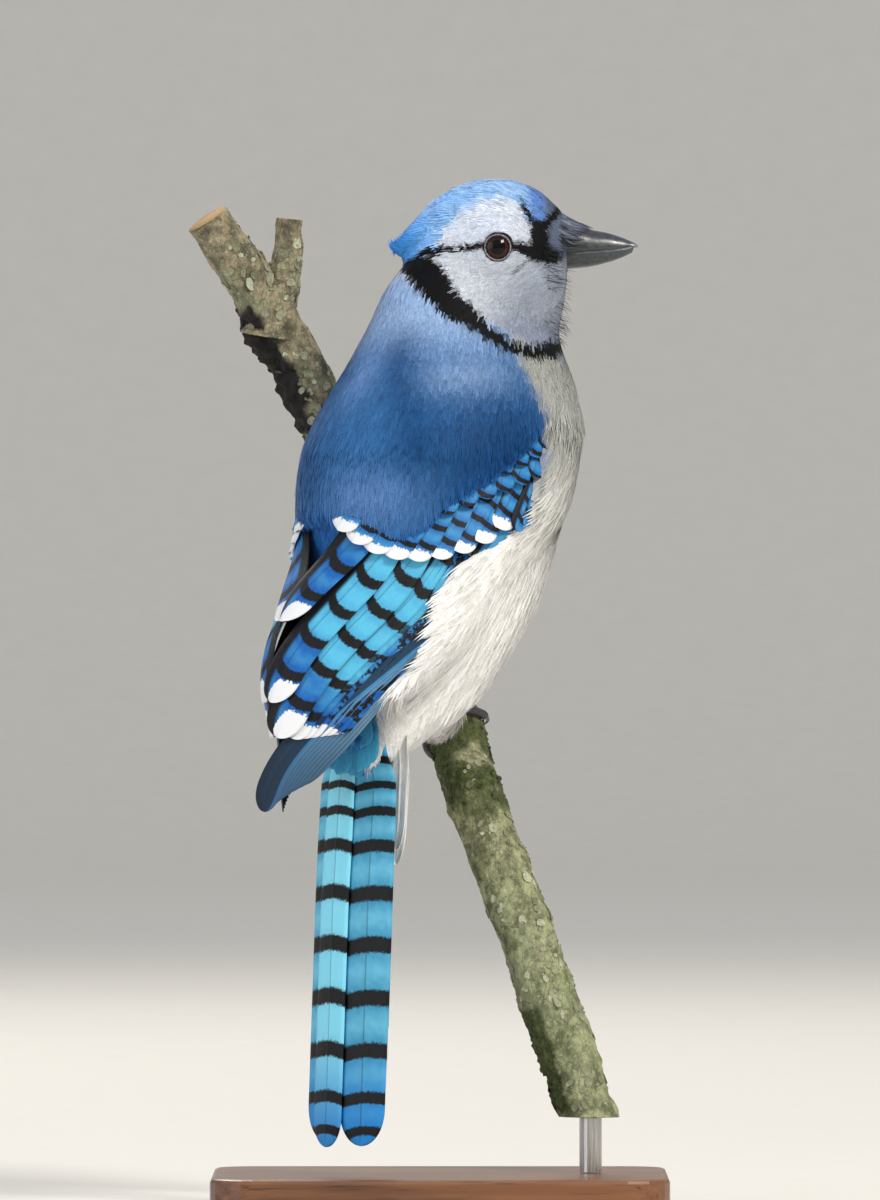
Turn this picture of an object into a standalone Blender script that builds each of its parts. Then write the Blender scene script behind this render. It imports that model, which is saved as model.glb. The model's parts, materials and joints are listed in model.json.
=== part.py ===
"""A life-size blue jay on a cut length of branch, held by a plain display stand.

Run with: blender --background --python part.py, or from Blender's text editor.
Lengths are in metres and angles in degrees. +Z is up. The bird is seen from behind and from its
right when looking along +Y, its head turned so that the bill points along +X.
The origin is the centre of the stand's underside.
"""

import math

import bmesh
import bpy
from mathutils import Matrix, Vector
from mathutils.bvhtree import BVHTree

GAP = 0.0003  # between nodes that touch
FLAT_ANGLE = 0.4  # faces this near to level with each other become one after a cut or join
RIGHT, LEFT = -1, 1
UP = Vector((0, 0, 1))

# Which way the bird faces, turned from +X towards +Y
TORSO_YAW = 38
TAIL_YAW = 48

# Body rings from the vent to the top of the neck:
# height, centre along the way it faces, half depth, half width
BODY_RINGS = (
    (0.1288, -0.0232, 0.0072, 0.0078),
    (0.1348, -0.0172, 0.0124, 0.0124),
    (0.1448, -0.0110, 0.0195, 0.0195),
    (0.1591, -0.0072, 0.0273, 0.0258),
    (0.1733, -0.0049, 0.0336, 0.0310),
    (0.1876, -0.0036, 0.0375, 0.0345),
    (0.2018, -0.0018, 0.0405, 0.0360),
    (0.2161, 0.0011, 0.0411, 0.0355),
    (0.2303, 0.0049, 0.0382, 0.0330),
    (0.2446, 0.0071, 0.0321, 0.0280),
    (0.2531, 0.0080, 0.0285, 0.0240),
    (0.2617, 0.0070, 0.0235, 0.0190),
    (0.2697, 0.0030, 0.0135, 0.0125),
)
BODY_SIDES = 24
RUMP_TOP = 0.1480
TORSO_TOP = 0.2318
RING_STEP = 0.0085

# Head rings from the nape to the root of the bill: along X, crown height, throat height, half width
HEAD_RINGS = (
    (-0.0100, 0.2765, 0.2700, 0.0030),
    (-0.0080, 0.2793, 0.2631, 0.0070),
    (-0.0051, 0.2833, 0.2583, 0.0105),
    (0.0000, 0.2879, 0.2517, 0.0140),
    (0.0057, 0.2909, 0.2480, 0.0163),
    (0.0114, 0.2925, 0.2457, 0.0170),
    (0.0171, 0.2927, 0.2446, 0.0167),
    (0.0228, 0.2919, 0.2440, 0.0152),
    (0.0285, 0.2893, 0.2446, 0.0128),
    (0.0322, 0.2862, 0.2460, 0.0102),
    (0.0345, 0.2839, 0.2517, 0.0078),
    (0.0362, 0.2816, 0.2645, 0.0055),
)
HEAD_SIDES = 20
HEAD_Y = 0.0040

# Eyes, with the ring of the lids standing round them
EYE_X, EYE_Z = 0.0164, 0.2739
EYE_RADIUS = 0.0060
EYE_CENTRE_OUT = 0.01165  # from the middle of the head
LID_RADIUS, LID_THICK = 0.00395, 0.0006

# Bill stations: along X, top of the upper half, mouth line, bottom of the lower half, half width
BILL_STATIONS = (
    (0.0305, 0.2800, 0.2712, 0.2668, 0.0046),
    (0.0362, 0.2812, 0.2722, 0.2676, 0.0047),
    (0.0430, 0.2790, 0.2728, 0.2684, 0.0038),
    (0.0480, 0.2780, 0.2731, 0.2696, 0.0030),
    (0.0520, 0.2767, 0.2735, 0.2710, 0.0022),
    (0.0548, 0.2755, 0.2740, 0.2724, 0.0012),
)
BILL_TIP = (0.0566, 0.2742)
GAPE_POINTS = ((0.0350, 0.2722), (0.0300, 0.2698), (0.0265, 0.2670))

# Shell that the folded wings lie on: height, centre, half depth, half width, exponent of the ring
WING_RINGS = (
    (0.1094, -0.0550, 0.0080, 0.0060, 1.4),
    (0.1163, -0.0510, 0.0125, 0.0095, 1.4),
    (0.1306, -0.0440, 0.0200, 0.0165, 1.4),
    (0.1448, -0.0350, 0.0285, 0.0240, 1.45),
    (0.1591, -0.0240, 0.0365, 0.0300, 1.5),
    (0.1733, -0.0125, 0.0412, 0.0342, 1.6),
    (0.1876, -0.0062, 0.0400, 0.0355, 1.8),
    (0.2075, -0.0020, 0.0400, 0.0352, 2.0),
    (0.2218, 0.0015, 0.0385, 0.0332, 2.0),
    (0.2400, 0.0055, 0.0340, 0.0290, 2.0),
)
LEFT_TUCK = 0.0018  # the left wing is pressed this much closer to the body
LEFT_TIP_TUCK = 0.0050  # and its tips this much more, so that the right wing's lie over them
TUCK_FROM, TUCK_TO = 0.1560, 0.1270
# Below this the shell is too narrow to bend a vane round, and the wing's tip is a flat blade
FLAT_FROM, FLAT_TO = 0.1550, 0.1320
BLADE_TURN = 42

# The feathered arm of the wing: middle and half size in degrees round the body and in height
ARM_MIDDLE = (68, 0.2050)
ARM_HALF = (45, 0.0260)
ARM_OUT, ARM_IN = 0.0016, 0.0026
WING_BED_RIM, WING_BED_WIDER = 0.0013, 1.08  # the body's hollow under the wing

VANE_THICK = 0.00052

# Tiers of the folded wing. A place is degrees round the body from the middle of the back, then
# height. first and last are (root, tip) of a tier's end feathers, lift is how far the tip stands
# off the shell, layer how much deeper each next tip lies, and tilt the drop of its inner edge.
WING_TIERS = {
    "primary": {
        "count": 5, "first": ((81, 0.1860), (6, 0.1135)), "last": ((91, 0.1930), (48, 0.1140)),
        "width": 0.0075, "lift": -0.0004, "layer": 0.0009, "tilt": 0.0003, "bow": 14, "cuts": 6,
    },
    "secondary": {
        "count": 4, "first": ((64, 0.1890), (34, 0.1350)), "last": ((76, 0.1850), (56, 0.1360)),
        "width": 0.0080, "lift": -0.0002, "layer": 0.0005, "tilt": 0.0016, "bow": 2, "cuts": 5,
    },
    "tertial": {
        "count": 3, "first": ((33, 0.1990), (8, 0.1673)), "last": ((56, 0.1930), (22, 0.1345)),
        "width": 0.0120, "lift": 0.0010, "layer": 0.0002, "tilt": 0.0017, "bow": 0, "cuts": 5,
    },
    "primary_covert": {
        "count": 3, "first": ((98, 0.2080), (78, 0.1840)), "last": ((106, 0.2060), (88, 0.1800)),
        "width": 0.0065, "lift": 0.0006, "layer": 0.0002, "tilt": 0.0014, "bow": 0, "cuts": 4,
    },
    "greater_covert": {
        "count": 7, "first": ((31, 0.2130), (19, 0.1924)), "last": ((96, 0.2110), (83, 0.1938)),
        "width": 0.0095, "lift": 0.0026, "layer": 0.0, "tilt": 0.0012, "bow": 0, "cuts": 4,
    },
    "median_covert": {
        "count": 5, "first": ((68, 0.2130), (59, 0.1975)), "last": ((104, 0.2240), (99, 0.2130)),
        "width": 0.0085, "lift": 0.0040, "layer": 0.0, "tilt": 0.0012, "bow": 0, "cuts": 4,
    },
    "alula": {
        "count": 1, "first": ((107, 0.2110), (96, 0.1930)), "last": ((107, 0.2110), (96, 0.1930)),
        "width": 0.0060, "lift": 0.0030, "layer": 0.0, "tilt": 0.0, "bow": 0, "cuts": 4,
    },
}
COVERT_SAG = 0.0085  # the row of greater coverts hangs this much lower in its middle
ROOT_LIFT = -0.0003

# Feathers that press into the body beside that hollow
PRESSED_VANES = (
    ("tertial", 0), ("greater_covert", 0), ("median_covert", 3), ("median_covert", 4), ("alula", 0)
)

# Under the tail's root the body draws out to a flat cone:
# height, distance under the tail's middle, half depth, half width
TAIL_CONE = (
    (0.1380, 0.0010, 0.0085, 0.0100),
    (0.1285, 0.0022, 0.0068, 0.0105),
    (0.1200, 0.0046, 0.0040, 0.0100),
    (0.1110, 0.0054, 0.0027, 0.0090),
    (0.1040, 0.0055, 0.0020, 0.0070),
)

# Tail: its root, and its feathers from the middle pair outwards
TAIL_ROOT = Vector((-0.0228, -0.0145, 0.1250))
TAIL_CORE = (0.0046, 0.0046, 0.0090)
TAIL_LENGTH = 0.1070
TAIL_LEAN = (-0.0036, -0.0026)  # how far the tip hangs from below the root
TAIL_LAYER = 0.0009
TAIL_SPREAD = 0.17  # share of the length over which the feathers draw apart
TAIL_SHAPE = ((0.0, 0.60), (0.08, 0.86), (0.22, 1.0), (0.76, 1.0), (0.94, 0.80), (1.0, 0.38))
TAIL_FEATHERS = (
    # side, layer, offset from the middle, half width, shorter by, roll
    (LEFT, 0, 0.0070, 0.0077, 0.0, 9),
    (RIGHT, 1, 0.0069, 0.0077, 0.0006, 8),
    (LEFT, 2, 0.0074, 0.0072, 0.0012, 8),
    (RIGHT, 2, 0.0062, 0.0072, 0.0012, 8),
    (LEFT, 3, 0.0078, 0.0068, 0.0030, 8),
    (RIGHT, 3, 0.0060, 0.0068, 0.0030, 8),
    (LEFT, 4, 0.0083, 0.0064, 0.0060, 8),
    (RIGHT, 4, 0.0059, 0.0064, 0.0060, 8),
    (LEFT, 5, 0.0088, 0.0060, 0.0100, 8),
    (RIGHT, 5, 0.0058, 0.0060, 0.0100, 8),
    (LEFT, 6, 0.0092, 0.0055, 0.0165, 8),
    (RIGHT, 6, 0.0058, 0.0055, 0.0165, 8),
)

# Branch: points along its middle, radius
PERCH_POINTS = (
    ((-0.0670, 0.0340, 0.2830), 0.0064),
    ((-0.0507, 0.0400, 0.2588), 0.0070),
    ((-0.0342, 0.0475, 0.2289), 0.0073),
    ((-0.0251, 0.0515, 0.2075), 0.0074),
    ((-0.0157, 0.0505, 0.1847), 0.0075),
    ((-0.0057, 0.0430, 0.1619), 0.0075),
    ((0.0029, 0.0310, 0.1406), 0.0075),
    ((0.0100, 0.0180, 0.1163), 0.0078),
    ((0.0222, 0.0080, 0.0850), 0.0080),
    ((0.0331, 0.0020, 0.0536), 0.0079),
    ((0.0440, 0.0000, 0.0220), 0.0078),
)
PERCH_FOOT = 0.0260  # height of the level cut at the branch's lower end
TWIG_POINTS = (
    ((-0.0465, 0.0395, 0.2540), 0.0050),
    ((-0.0445, 0.0390, 0.2640), 0.0046),
    ((-0.0437, 0.0385, 0.2720), 0.0042),
    ((-0.0428, 0.0380, 0.2830), 0.0040),
)

# Feet: height at which each holds the branch
FOOT_HEIGHTS = {LEFT: 0.1500, RIGHT: 0.1370}
BELLY_MIDDLE = Vector((-0.0090, -0.0068, 0.1450))
TOE_RADIUS = 0.00115
TARSUS_RADIUS = 0.0013
TOES = ((148, -0.0046, 0.92), (168, 0.0, 1.0), (140, 0.0048, 0.92), (-128, 0.0006, 1.05))
# Share of the reach, rise off the bark in toe radii, thickness: pads, then the curved claw
TOE_SHAPE = (
    (0.0, 0.0, 1.15), (0.2, 0.0, 1.0), (0.4, 0.1, 1.08), (0.6, 0.0, 0.95), (0.72, 0.1, 1.02),
    (0.80, 0.35, 0.62), (0.91, 0.55, 0.42), (1.0, -0.2, 0.16),
)
THIGH_HALF = Vector((0.0075, 0.0085, 0.0125))
THIGHS = {LEFT: (-0.0050, 0.0130, 0.1560), RIGHT: (0.0050, 0.0072, 0.1460)}

# Stand
BASE_SIZE = (0.130, 0.094, 0.010)
BASE_CORNER = 0.012
BASE_EDGE = 0.0012
ROD_RADIUS = 0.0032

COLOURS = {
    "plumage_blue": ((0.10, 0.24, 0.62, 1), 0.7),
    "plumage_white": ((0.72, 0.74, 0.78, 1), 0.8),
    "wing_blue": ((0.04, 0.30, 0.72, 1), 0.55),
    "tail_blue": ((0.10, 0.45, 0.78, 1), 0.55),
    "bill_black": ((0.03, 0.035, 0.04, 1), 0.35),
    "eye_brown": ((0.05, 0.02, 0.012, 1), 0.08),
    "foot_black": ((0.025, 0.025, 0.028, 1), 0.6),
    "bark": ((0.25, 0.25, 0.16, 1), 0.9),
    "stand_wood": ((0.22, 0.13, 0.075, 1), 0.5),
    "stand_metal": ((0.35, 0.34, 0.32, 1), 0.35),
}


def clear_scene():
    for obj in list(bpy.data.objects):
        bpy.data.objects.remove(obj)


def facing(yaw):
    """Forward and left, level, of something turned by yaw."""
    turn = math.radians(yaw)
    return Vector((math.cos(turn), math.sin(turn), 0)), Vector((-math.sin(turn), math.cos(turn), 0))


TORSO_FORWARD, TORSO_LEFT = facing(TORSO_YAW)


def between(rows, place):
    """The row at a place in the first column, on a smooth curve through the rows."""
    if place <= rows[0][0]:
        return rows[0][1:]
    if place >= rows[-1][0]:
        return rows[-1][1:]
    index = max(i for i in range(len(rows) - 1) if rows[i][0] <= place)
    before, start = rows[max(index - 1, 0)], rows[index]
    end, after = rows[index + 1], rows[min(index + 2, len(rows) - 1)]
    span = end[0] - start[0]
    t = (place - start[0]) / span
    made = []
    for column in range(1, len(start)):
        slope_in = (end[column] - before[column]) / (end[0] - before[0]) * span
        slope_out = (after[column] - start[column]) / (after[0] - start[0]) * span
        made.append(
            start[column] * (2 * t**3 - 3 * t**2 + 1)
            + slope_in * (t**3 - 2 * t**2 + t)
            + end[column] * (3 * t**2 - 2 * t**3)
            + slope_out * (t**3 - t**2)
        )
    return tuple(made)


def mix(a, b, share):
    return a + (b - a) * share


def ramp(value, low, high):
    """0 at low, 1 at high, smooth between."""
    t = min(max((value - low) / (high - low), 0), 1)
    return t * t * (3 - 2 * t)


def torso_place(forward, left, height):
    return TORSO_FORWARD * forward + TORSO_LEFT * left + UP * height


def new_object(name, mesh, slot, collection):
    obj = bpy.data.objects.new(name, mesh)
    collection.objects.link(obj)
    if slot:
        mesh.materials.clear()
        mesh.materials.append(bpy.data.materials[slot])
    return obj


def mesh_from(name, points, faces):
    """A closed mesh whose faces point out."""
    mesh = bpy.data.meshes.new(name)
    mesh.from_pydata(points, [], faces)
    shaped = bmesh.new()
    shaped.from_mesh(mesh)
    bmesh.ops.recalc_face_normals(shaped, faces=shaped.faces)
    if shaped.calc_volume(signed=True) < 0:
        bmesh.ops.reverse_faces(shaped, faces=shaped.faces)
    shaped.to_mesh(mesh)
    shaped.free()
    return mesh


def loft(name, rings):
    """A closed mesh through rings of equal count, each end closed by a fan."""
    count = len(rings[0])
    points = [p for ring in rings for p in ring]
    faces = []
    for row in range(len(rings) - 1):
        for side in range(count):
            a, b = row * count + side, row * count + (side + 1) % count
            faces += [(a, b, b + count), (a, b + count, a + count)]
    for row in (0, len(rings) - 1):
        middle = len(points)
        points.append(sum(rings[row], Vector()) / count)
        for side in range(count):
            faces.append((row * count + side, row * count + (side + 1) % count, middle))
    return mesh_from(name, points, faces)


def vane(name, stations, grow=0.0):
    """A feather's vane from (left edge, middle, right edge, normal, thickness) at each station.
    Both faces are split into triangles alike. grow makes it fatter all round, as a cutter."""
    points = []
    last = len(stations) - 1
    for row, (left, middle, right, normal, thick) in enumerate(stations):
        across = (right - left).normalized() * grow
        onward = (stations[min(row + 1, last)][1] - stations[max(row - 1, 0)][1]).normalized()
        onward *= grow * ((row == last) - (row == 0))
        for face in (1, -1):
            points += [
                p + onward + normal * (face * (thick / 2 + grow))
                for p in (left - across, middle, right + across)
            ]
    faces = []
    for row in range(len(stations) - 1):
        here, there = row * 6, row * 6 + 6
        for face in (0, 3):
            for column in (0, 1):
                a, b = here + face + column, here + face + column + 1
                c, d = there + face + column + 1, there + face + column
                faces += [(a, b, c), (a, c, d)]
        for edge in (0, 2):
            a, b = here + edge, there + edge
            c, d = there + edge + 3, here + edge + 3
            faces += [(a, b, c), (a, c, d)]
    for end in (0, (len(stations) - 1) * 6):
        for column in (0, 1):
            a, b = end + column, end + column + 1
            faces += [(a, b, b + 3), (a, b + 3, a + 3)]
    return mesh_from(name, points, faces)


def tube(name, points, radii, smooth=True, rings=1):
    """A round closed tube along points, as a mesh."""
    curve = bpy.data.curves.new(name, "CURVE")
    curve.dimensions = "3D"
    curve.bevel_depth = 1.0
    curve.bevel_resolution = rings
    curve.use_fill_caps = True
    curve.resolution_u = 3
    spline = curve.splines.new("NURBS" if smooth else "POLY")
    spline.points.add(len(points) - 1)
    for point, place, radius in zip(spline.points, points, radii):
        point.co = (*place, 1)
        point.radius = radius
    if smooth:
        spline.order_u = 3
        spline.use_endpoint_u = True
    obj = bpy.data.objects.new(name, curve)
    bpy.context.scene.collection.objects.link(obj)
    bpy.context.view_layer.update()
    made = bpy.data.meshes.new_from_object(obj.evaluated_get(bpy.context.evaluated_depsgraph_get()))
    bpy.data.objects.remove(obj)
    shaped = bmesh.new()
    shaped.from_mesh(made)
    bmesh.ops.remove_doubles(shaped, verts=shaped.verts, dist=0.00001)
    bmesh.ops.triangulate(shaped, faces=shaped.faces)
    bmesh.ops.recalc_face_normals(shaped, faces=shaped.faces)
    shaped.to_mesh(made)
    shaped.free()
    return made


def ball(name, centre, half, across=16, along=10):
    """An ellipsoid with half sizes along X, Y and Z."""
    shaped = bmesh.new()
    place = Matrix.Translation(centre) @ Matrix.Diagonal((*half, 1))
    bmesh.ops.create_uvsphere(
        shaped, u_segments=across, v_segments=along, radius=1, matrix=place
    )
    bmesh.ops.triangulate(shaped, faces=shaped.faces)
    mesh = bpy.data.meshes.new(name)
    shaped.to_mesh(mesh)
    shaped.free()
    return mesh


def evaluated_mesh(obj):
    bpy.context.view_layer.update()
    return bpy.data.meshes.new_from_object(obj.evaluated_get(bpy.context.evaluated_depsgraph_get()))


def keep_largest(obj):
    """Drops every loose scrap, so that one closed surface is left."""
    shaped = bmesh.new()
    shaped.from_mesh(obj.data)
    bmesh.ops.remove_doubles(shaped, verts=shaped.verts, dist=0.000002)
    waiting = set(shaped.verts)
    largest = set()
    while waiting:
        group, edge = set(), [waiting.pop()]
        while edge:
            vert = edge.pop()
            group.add(vert)
            for link in vert.link_edges:
                other = link.other_vert(vert)
                if other in waiting:
                    waiting.remove(other)
                    edge.append(other)
        largest = max(largest, group, key=len)
    bmesh.ops.delete(shaped, geom=[v for v in shaped.verts if v not in largest], context="VERTS")
    bmesh.ops.dissolve_limit(
        shaped, angle_limit=math.radians(FLAT_ANGLE), verts=shaped.verts, edges=shaped.edges
    )
    bmesh.ops.triangulate(shaped, faces=shaped.faces)
    shaped.to_mesh(obj.data)
    shaped.free()


def boolean(obj, meshes, operation, solver="EXACT"):
    """Joins closed meshes to obj, or cuts them from it, then removes them."""
    tools = bpy.data.collections.new("tools")
    bpy.context.scene.collection.children.link(tools)
    for number, mesh in enumerate(meshes):
        tools.objects.link(bpy.data.objects.new(f"tool_{number}", mesh))
    modifier = obj.modifiers.new("joined", "BOOLEAN")
    modifier.operation = operation
    modifier.operand_type = "COLLECTION"
    modifier.collection = tools
    modifier.solver = solver
    materials = list(obj.data.materials)
    made = evaluated_mesh(obj)
    obj.modifiers.clear()
    obj.data = made
    made.materials.clear()
    for material in materials:
        made.materials.append(material)
    for face in made.polygons:
        face.material_index = 0
    for tool in list(tools.objects):
        bpy.data.objects.remove(tool)
    bpy.data.collections.remove(tools)
    keep_largest(obj)


def smooth(obj, angle=40):
    obj.data.shade_smooth()
    obj.data.set_sharp_from_angle(angle=math.radians(angle))


def body_ring(height, grow=0.0):
    centre, deep, wide = between(BODY_RINGS, height)
    ring = []
    for side in range(BODY_SIDES):
        turn = 2 * math.pi * side / BODY_SIDES
        forward = centre - (deep + grow) * math.cos(turn)
        ring.append(torso_place(forward, (wide + grow) * math.sin(turn), height))
    return ring


def body_part(name, low, high, slot, collection):
    """A length of the body between two level cuts."""
    steps = max(2, round((high - low) / RING_STEP))
    rings = [body_ring(mix(low, high, step / steps)) for step in range(steps + 1)]
    return new_object(name, loft(name, rings), slot, collection)


def wing_shell(side, height):
    centre, deep, wide, power = between(WING_RINGS, height)
    if side == LEFT:
        centre += LEFT_TUCK + LEFT_TIP_TUCK * (1 - ramp(height, TUCK_TO, TUCK_FROM))
    return centre, deep, wide, power


def shell_place(side, degrees, height):
    """A point of the wing shell. Degrees run from the middle of the back towards side."""
    centre, deep, wide, power = wing_shell(side, height)
    turn = math.radians(degrees)
    back = math.copysign(abs(math.cos(turn)) ** (2 / power), math.cos(turn))
    out = math.copysign(abs(math.sin(turn)) ** (2 / power), math.sin(turn))
    return torso_place(centre - deep * back, side * wide * out, height)


def shell_normal(side, degrees, height):
    round_it = shell_place(side, degrees + 2, height) - shell_place(side, degrees - 2, height)
    up_it = shell_place(side, degrees, height + 0.002) - shell_place(side, degrees, height - 0.002)
    normal = round_it.cross(up_it).normalized()
    return -normal if side == LEFT else normal


def shell_degrees(side, place):
    """The degrees at which a point near the shell lies."""
    centre, deep, wide, power = wing_shell(side, place.z)
    back = (centre - place.dot(TORSO_FORWARD)) / deep
    out = side * place.dot(TORSO_LEFT) / wide
    back = math.copysign(abs(back) ** (power / 2), back)
    out = math.copysign(abs(out) ** (power / 2), out)
    return math.degrees(math.atan2(out, back))


def arm_depth(degrees, height):
    """1 in the middle of the wing's arm, 0 at its edge."""
    a = (degrees - ARM_MIDDLE[0]) / ARM_HALF[0]
    b = (height - ARM_MIDDLE[1]) / ARM_HALF[1]
    return max(1 - a * a - b * b, 0)


def wing_arm(side, rim=0.00025, grow=0.0, wider=1.0):
    """The flat lens of the wing's arm, its rim thin. The body's cut for it is thicker and wider."""
    rows, sides = 4, 18
    outer, inner = [], []
    for row in range(1, rows + 1):
        reach = row / rows * wider
        for step in range(sides):
            turn = 2 * math.pi * step / sides
            degrees = ARM_MIDDLE[0] + ARM_HALF[0] * reach * math.cos(turn)
            height = ARM_MIDDLE[1] + ARM_HALF[1] * reach * math.sin(turn)
            depth = math.sqrt(arm_depth(degrees, height))
            place, normal = shell_place(side, degrees, height), shell_normal(side, degrees, height)
            outer.append(place + normal * (rim + grow + ARM_OUT * depth))
            inner.append(place - normal * (rim + grow + ARM_IN * depth))
    place, normal = shell_place(side, *ARM_MIDDLE), shell_normal(side, *ARM_MIDDLE)
    outer.append(place + normal * (rim + grow + ARM_OUT))
    inner.append(place - normal * (rim + grow + ARM_IN))
    points, half = outer + inner, len(outer)
    faces = []
    for start in (0, half):
        for step in range(sides):
            after = (step + 1) % sides
            faces.append((start + step, start + after, start + half - 1))
            for row in range(rows - 1):
                a, b = start + row * sides + step, start + row * sides + after
                faces += [(a, b, b + sides), (a, b + sides, a + sides)]
    last = (rows - 1) * sides
    for step in range(sides):
        a, b = last + step, last + (step + 1) % sides
        faces += [(a, b, b + half), (a, b + half, a + half)]
    return mesh_from("wing_arm", points, faces)


VANE_SHAPE = ((0.0, 0.55), (0.14, 0.88), (0.45, 1.0), (0.76, 1.0), (0.93, 0.80), (1.0, 0.36))
SHORT_VANE_SHAPE = ((0.0, 0.60), (0.45, 1.0), (0.82, 0.90), (1.0, 0.42))


def wing_vane(side, root, tip, tier, number, grow=0.0):
    """One feather of the folded wing, lying along the shell."""
    shape = SHORT_VANE_SHAPE if tier["cuts"] == 4 else VANE_SHAPE
    turn = math.radians(BLADE_TURN)
    blade = TORSO_LEFT * (side * math.sin(turn)) - TORSO_FORWARD * math.cos(turn)
    stations = []
    for along, share in shape:
        def place_at(t):
            degrees = mix(root[0], tip[0], t) + tier["bow"] * 4 * t * (1 - t)
            return shell_place(side, degrees, mix(root[1], tip[1], t))

        middle = place_at(along)
        way = (place_at(min(along + 0.05, 1)) - place_at(max(along - 0.05, 0))).normalized()
        flat = 1 - ramp(middle.z, FLAT_TO, FLAT_FROM)
        normal = shell_normal(side, shell_degrees(side, middle), middle.z)
        normal = normal.lerp(blade, flat).normalized()
        across = normal.cross(way).normalized() * (1 if side == LEFT else -1)
        rise = along**0.8
        lift = mix(ROOT_LIFT, tier["lift"], rise) - tier["layer"] * number * rise
        lift += 0.000017 * number
        half = tier["width"] / 2 * share
        edges = []
        for hand in (-1, 1):
            edge = middle + across * (hand * half)
            degrees = shell_degrees(side, edge)
            slope = -hand * tier["tilt"] / 2 * share * min(along * 3, 1)
            bent = shell_place(side, degrees, edge.z)
            bent += shell_normal(side, degrees, edge.z) * (lift + slope)
            edges.append(bent.lerp(edge + normal * (lift + slope), flat))
        crown = 0.02 * half
        stations.append(
            (edges[0], middle + normal * (lift + crown), edges[1], normal,
             VANE_THICK if along < 1 else VANE_THICK * 0.6)
        )
    return vane("vane", stations, grow)


def tier_places(name, tier):
    """(root, tip) of each feather in a tier, the inner one first."""
    for number in range(tier["count"]):
        share = number / max(tier["count"] - 1, 1)
        root = [mix(a, b, share) for a, b in zip(tier["first"][0], tier["last"][0])]
        tip = [mix(a, b, share) for a, b in zip(tier["first"][1], tier["last"][1])]
        if name == "greater_covert":
            tip[1] -= COVERT_SAG * 4 * share * (1 - share)
            root[1] -= COVERT_SAG * 2 * share * (1 - share)
        yield number, root, tip


def wing_vanes(side, grow=0.0, only=None):
    """The wing's feathers, or those named in only."""
    return [
        wing_vane(side, root, tip, tier, number, grow)
        for tier_name, tier in WING_TIERS.items()
        for number, root, tip in tier_places(tier_name, tier)
        if only is None or (tier_name, number) in only
    ]


def make_wing(side, collection):
    name = "wing_right" if side == RIGHT else "wing_left"
    wing = new_object(name, wing_arm(side), "wing_blue", collection)
    boolean(wing, wing_vanes(side), "UNION")
    return wing


def tail_core(grow=0.0):
    lean = Vector((*TAIL_LEAN, -TAIL_LENGTH))
    return ball("tail", TAIL_ROOT + lean * 0.07, [half + grow for half in TAIL_CORE], 12, 8)


def tail_vanes(grow=0.0):
    """Twelve tail feathers, the middle pair on top."""
    forward, left = facing(TAIL_YAW)
    lean = Vector((*TAIL_LEAN, -TAIL_LENGTH))
    top = -forward
    vanes = []
    for number, (side, layer, offset, half, short, roll) in enumerate(TAIL_FEATHERS):
        stations = []
        for along, share in TAIL_SHAPE:
            length = mix(0.03, 1 - short / TAIL_LENGTH, along)
            spread = ramp(along, 0, TAIL_SPREAD)
            depth = (3 - layer) * TAIL_LAYER * mix(0.35, 1, min(along * 2.5, 1))
            depth += 0.00002 * number
            out = side * mix(0.0012, offset, spread) * left
            middle = TAIL_ROOT + lean * length + out + top * depth
            tilt = math.radians(roll) * side * spread
            across = left * math.cos(tilt) - top * math.sin(tilt)
            normal = top * math.cos(tilt) + left * math.sin(tilt)
            reach = across * (half * share * mix(0.6, 1, spread))
            crown = normal * 0.03 * half
            stations.append(
                (middle - reach, middle + crown, middle + reach, normal,
                 VANE_THICK if along < 1 else VANE_THICK * 0.6)
            )
        vanes.append(vane("vane", stations, grow))
    return vanes


def make_tail(collection):
    tail = new_object("tail", tail_core(), "tail_blue", collection)
    boolean(tail, tail_vanes(), "UNION")
    return tail


COVERT_ROWS = (
    # side of the tail, count, spread at the root, at the tip, root, tip, tip's height off, rise
    (1, 4, 0.0080, 0.0150, 0.0085, -0.0020, 0.0050, 0.0020),
    (-1, 5, 0.0085, 0.0180, 0.0085, -0.0300, 0.0062, 0.0120),
)


def tail_cone():
    forward, left = facing(TAIL_YAW)
    rings = []
    for height, under, deep, wide in TAIL_CONE:
        middle = TAIL_ROOT + UP * (height - TAIL_ROOT.z) + forward * under
        rings.append(
            [
                middle + forward * (deep * math.cos(a)) + left * (wide * math.sin(a))
                for a in (2 * math.pi * step / 16 for step in range(16))
            ]
        )
    return loft("cone", rings)


def make_rump(collection):
    """The lowest length of the body, with the tail coverts above and below the tail."""
    rump = body_part("rump", BODY_RINGS[0][0], RUMP_TOP - GAP, "plumage_blue", collection)
    boolean(rump, [tail_cone()], "UNION")
    boolean(rump, [tail_core(GAP), *tail_vanes(GAP)], "DIFFERENCE")
    forward, left = facing(TAIL_YAW)
    vanes = []
    for face, count, root_spread, tip_spread, root, tip, off, rise in COVERT_ROWS:
        for number in range(count):
            share = number / (count - 1) - 0.5
            stations = []
            for along, wide in SHORT_VANE_SHAPE:
                out = left * share * mix(root_spread, tip_spread, along)
                depth = mix(0.0040, off, min(along * 3, 1)) + 0.0009 * (number % 2) * along
                depth += 0.00003 * number
                drop = UP * mix(root, tip + rise * abs(share), along)
                middle = TAIL_ROOT + out + drop - forward * (face * depth)
                reach = left * (0.0040 * wide)
                stations.append(
                    (middle - reach, middle, middle + reach, -forward * face, VANE_THICK)
                )
            vanes.append(vane("vane", stations))
    boolean(rump, vanes, "UNION")
    return rump


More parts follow.
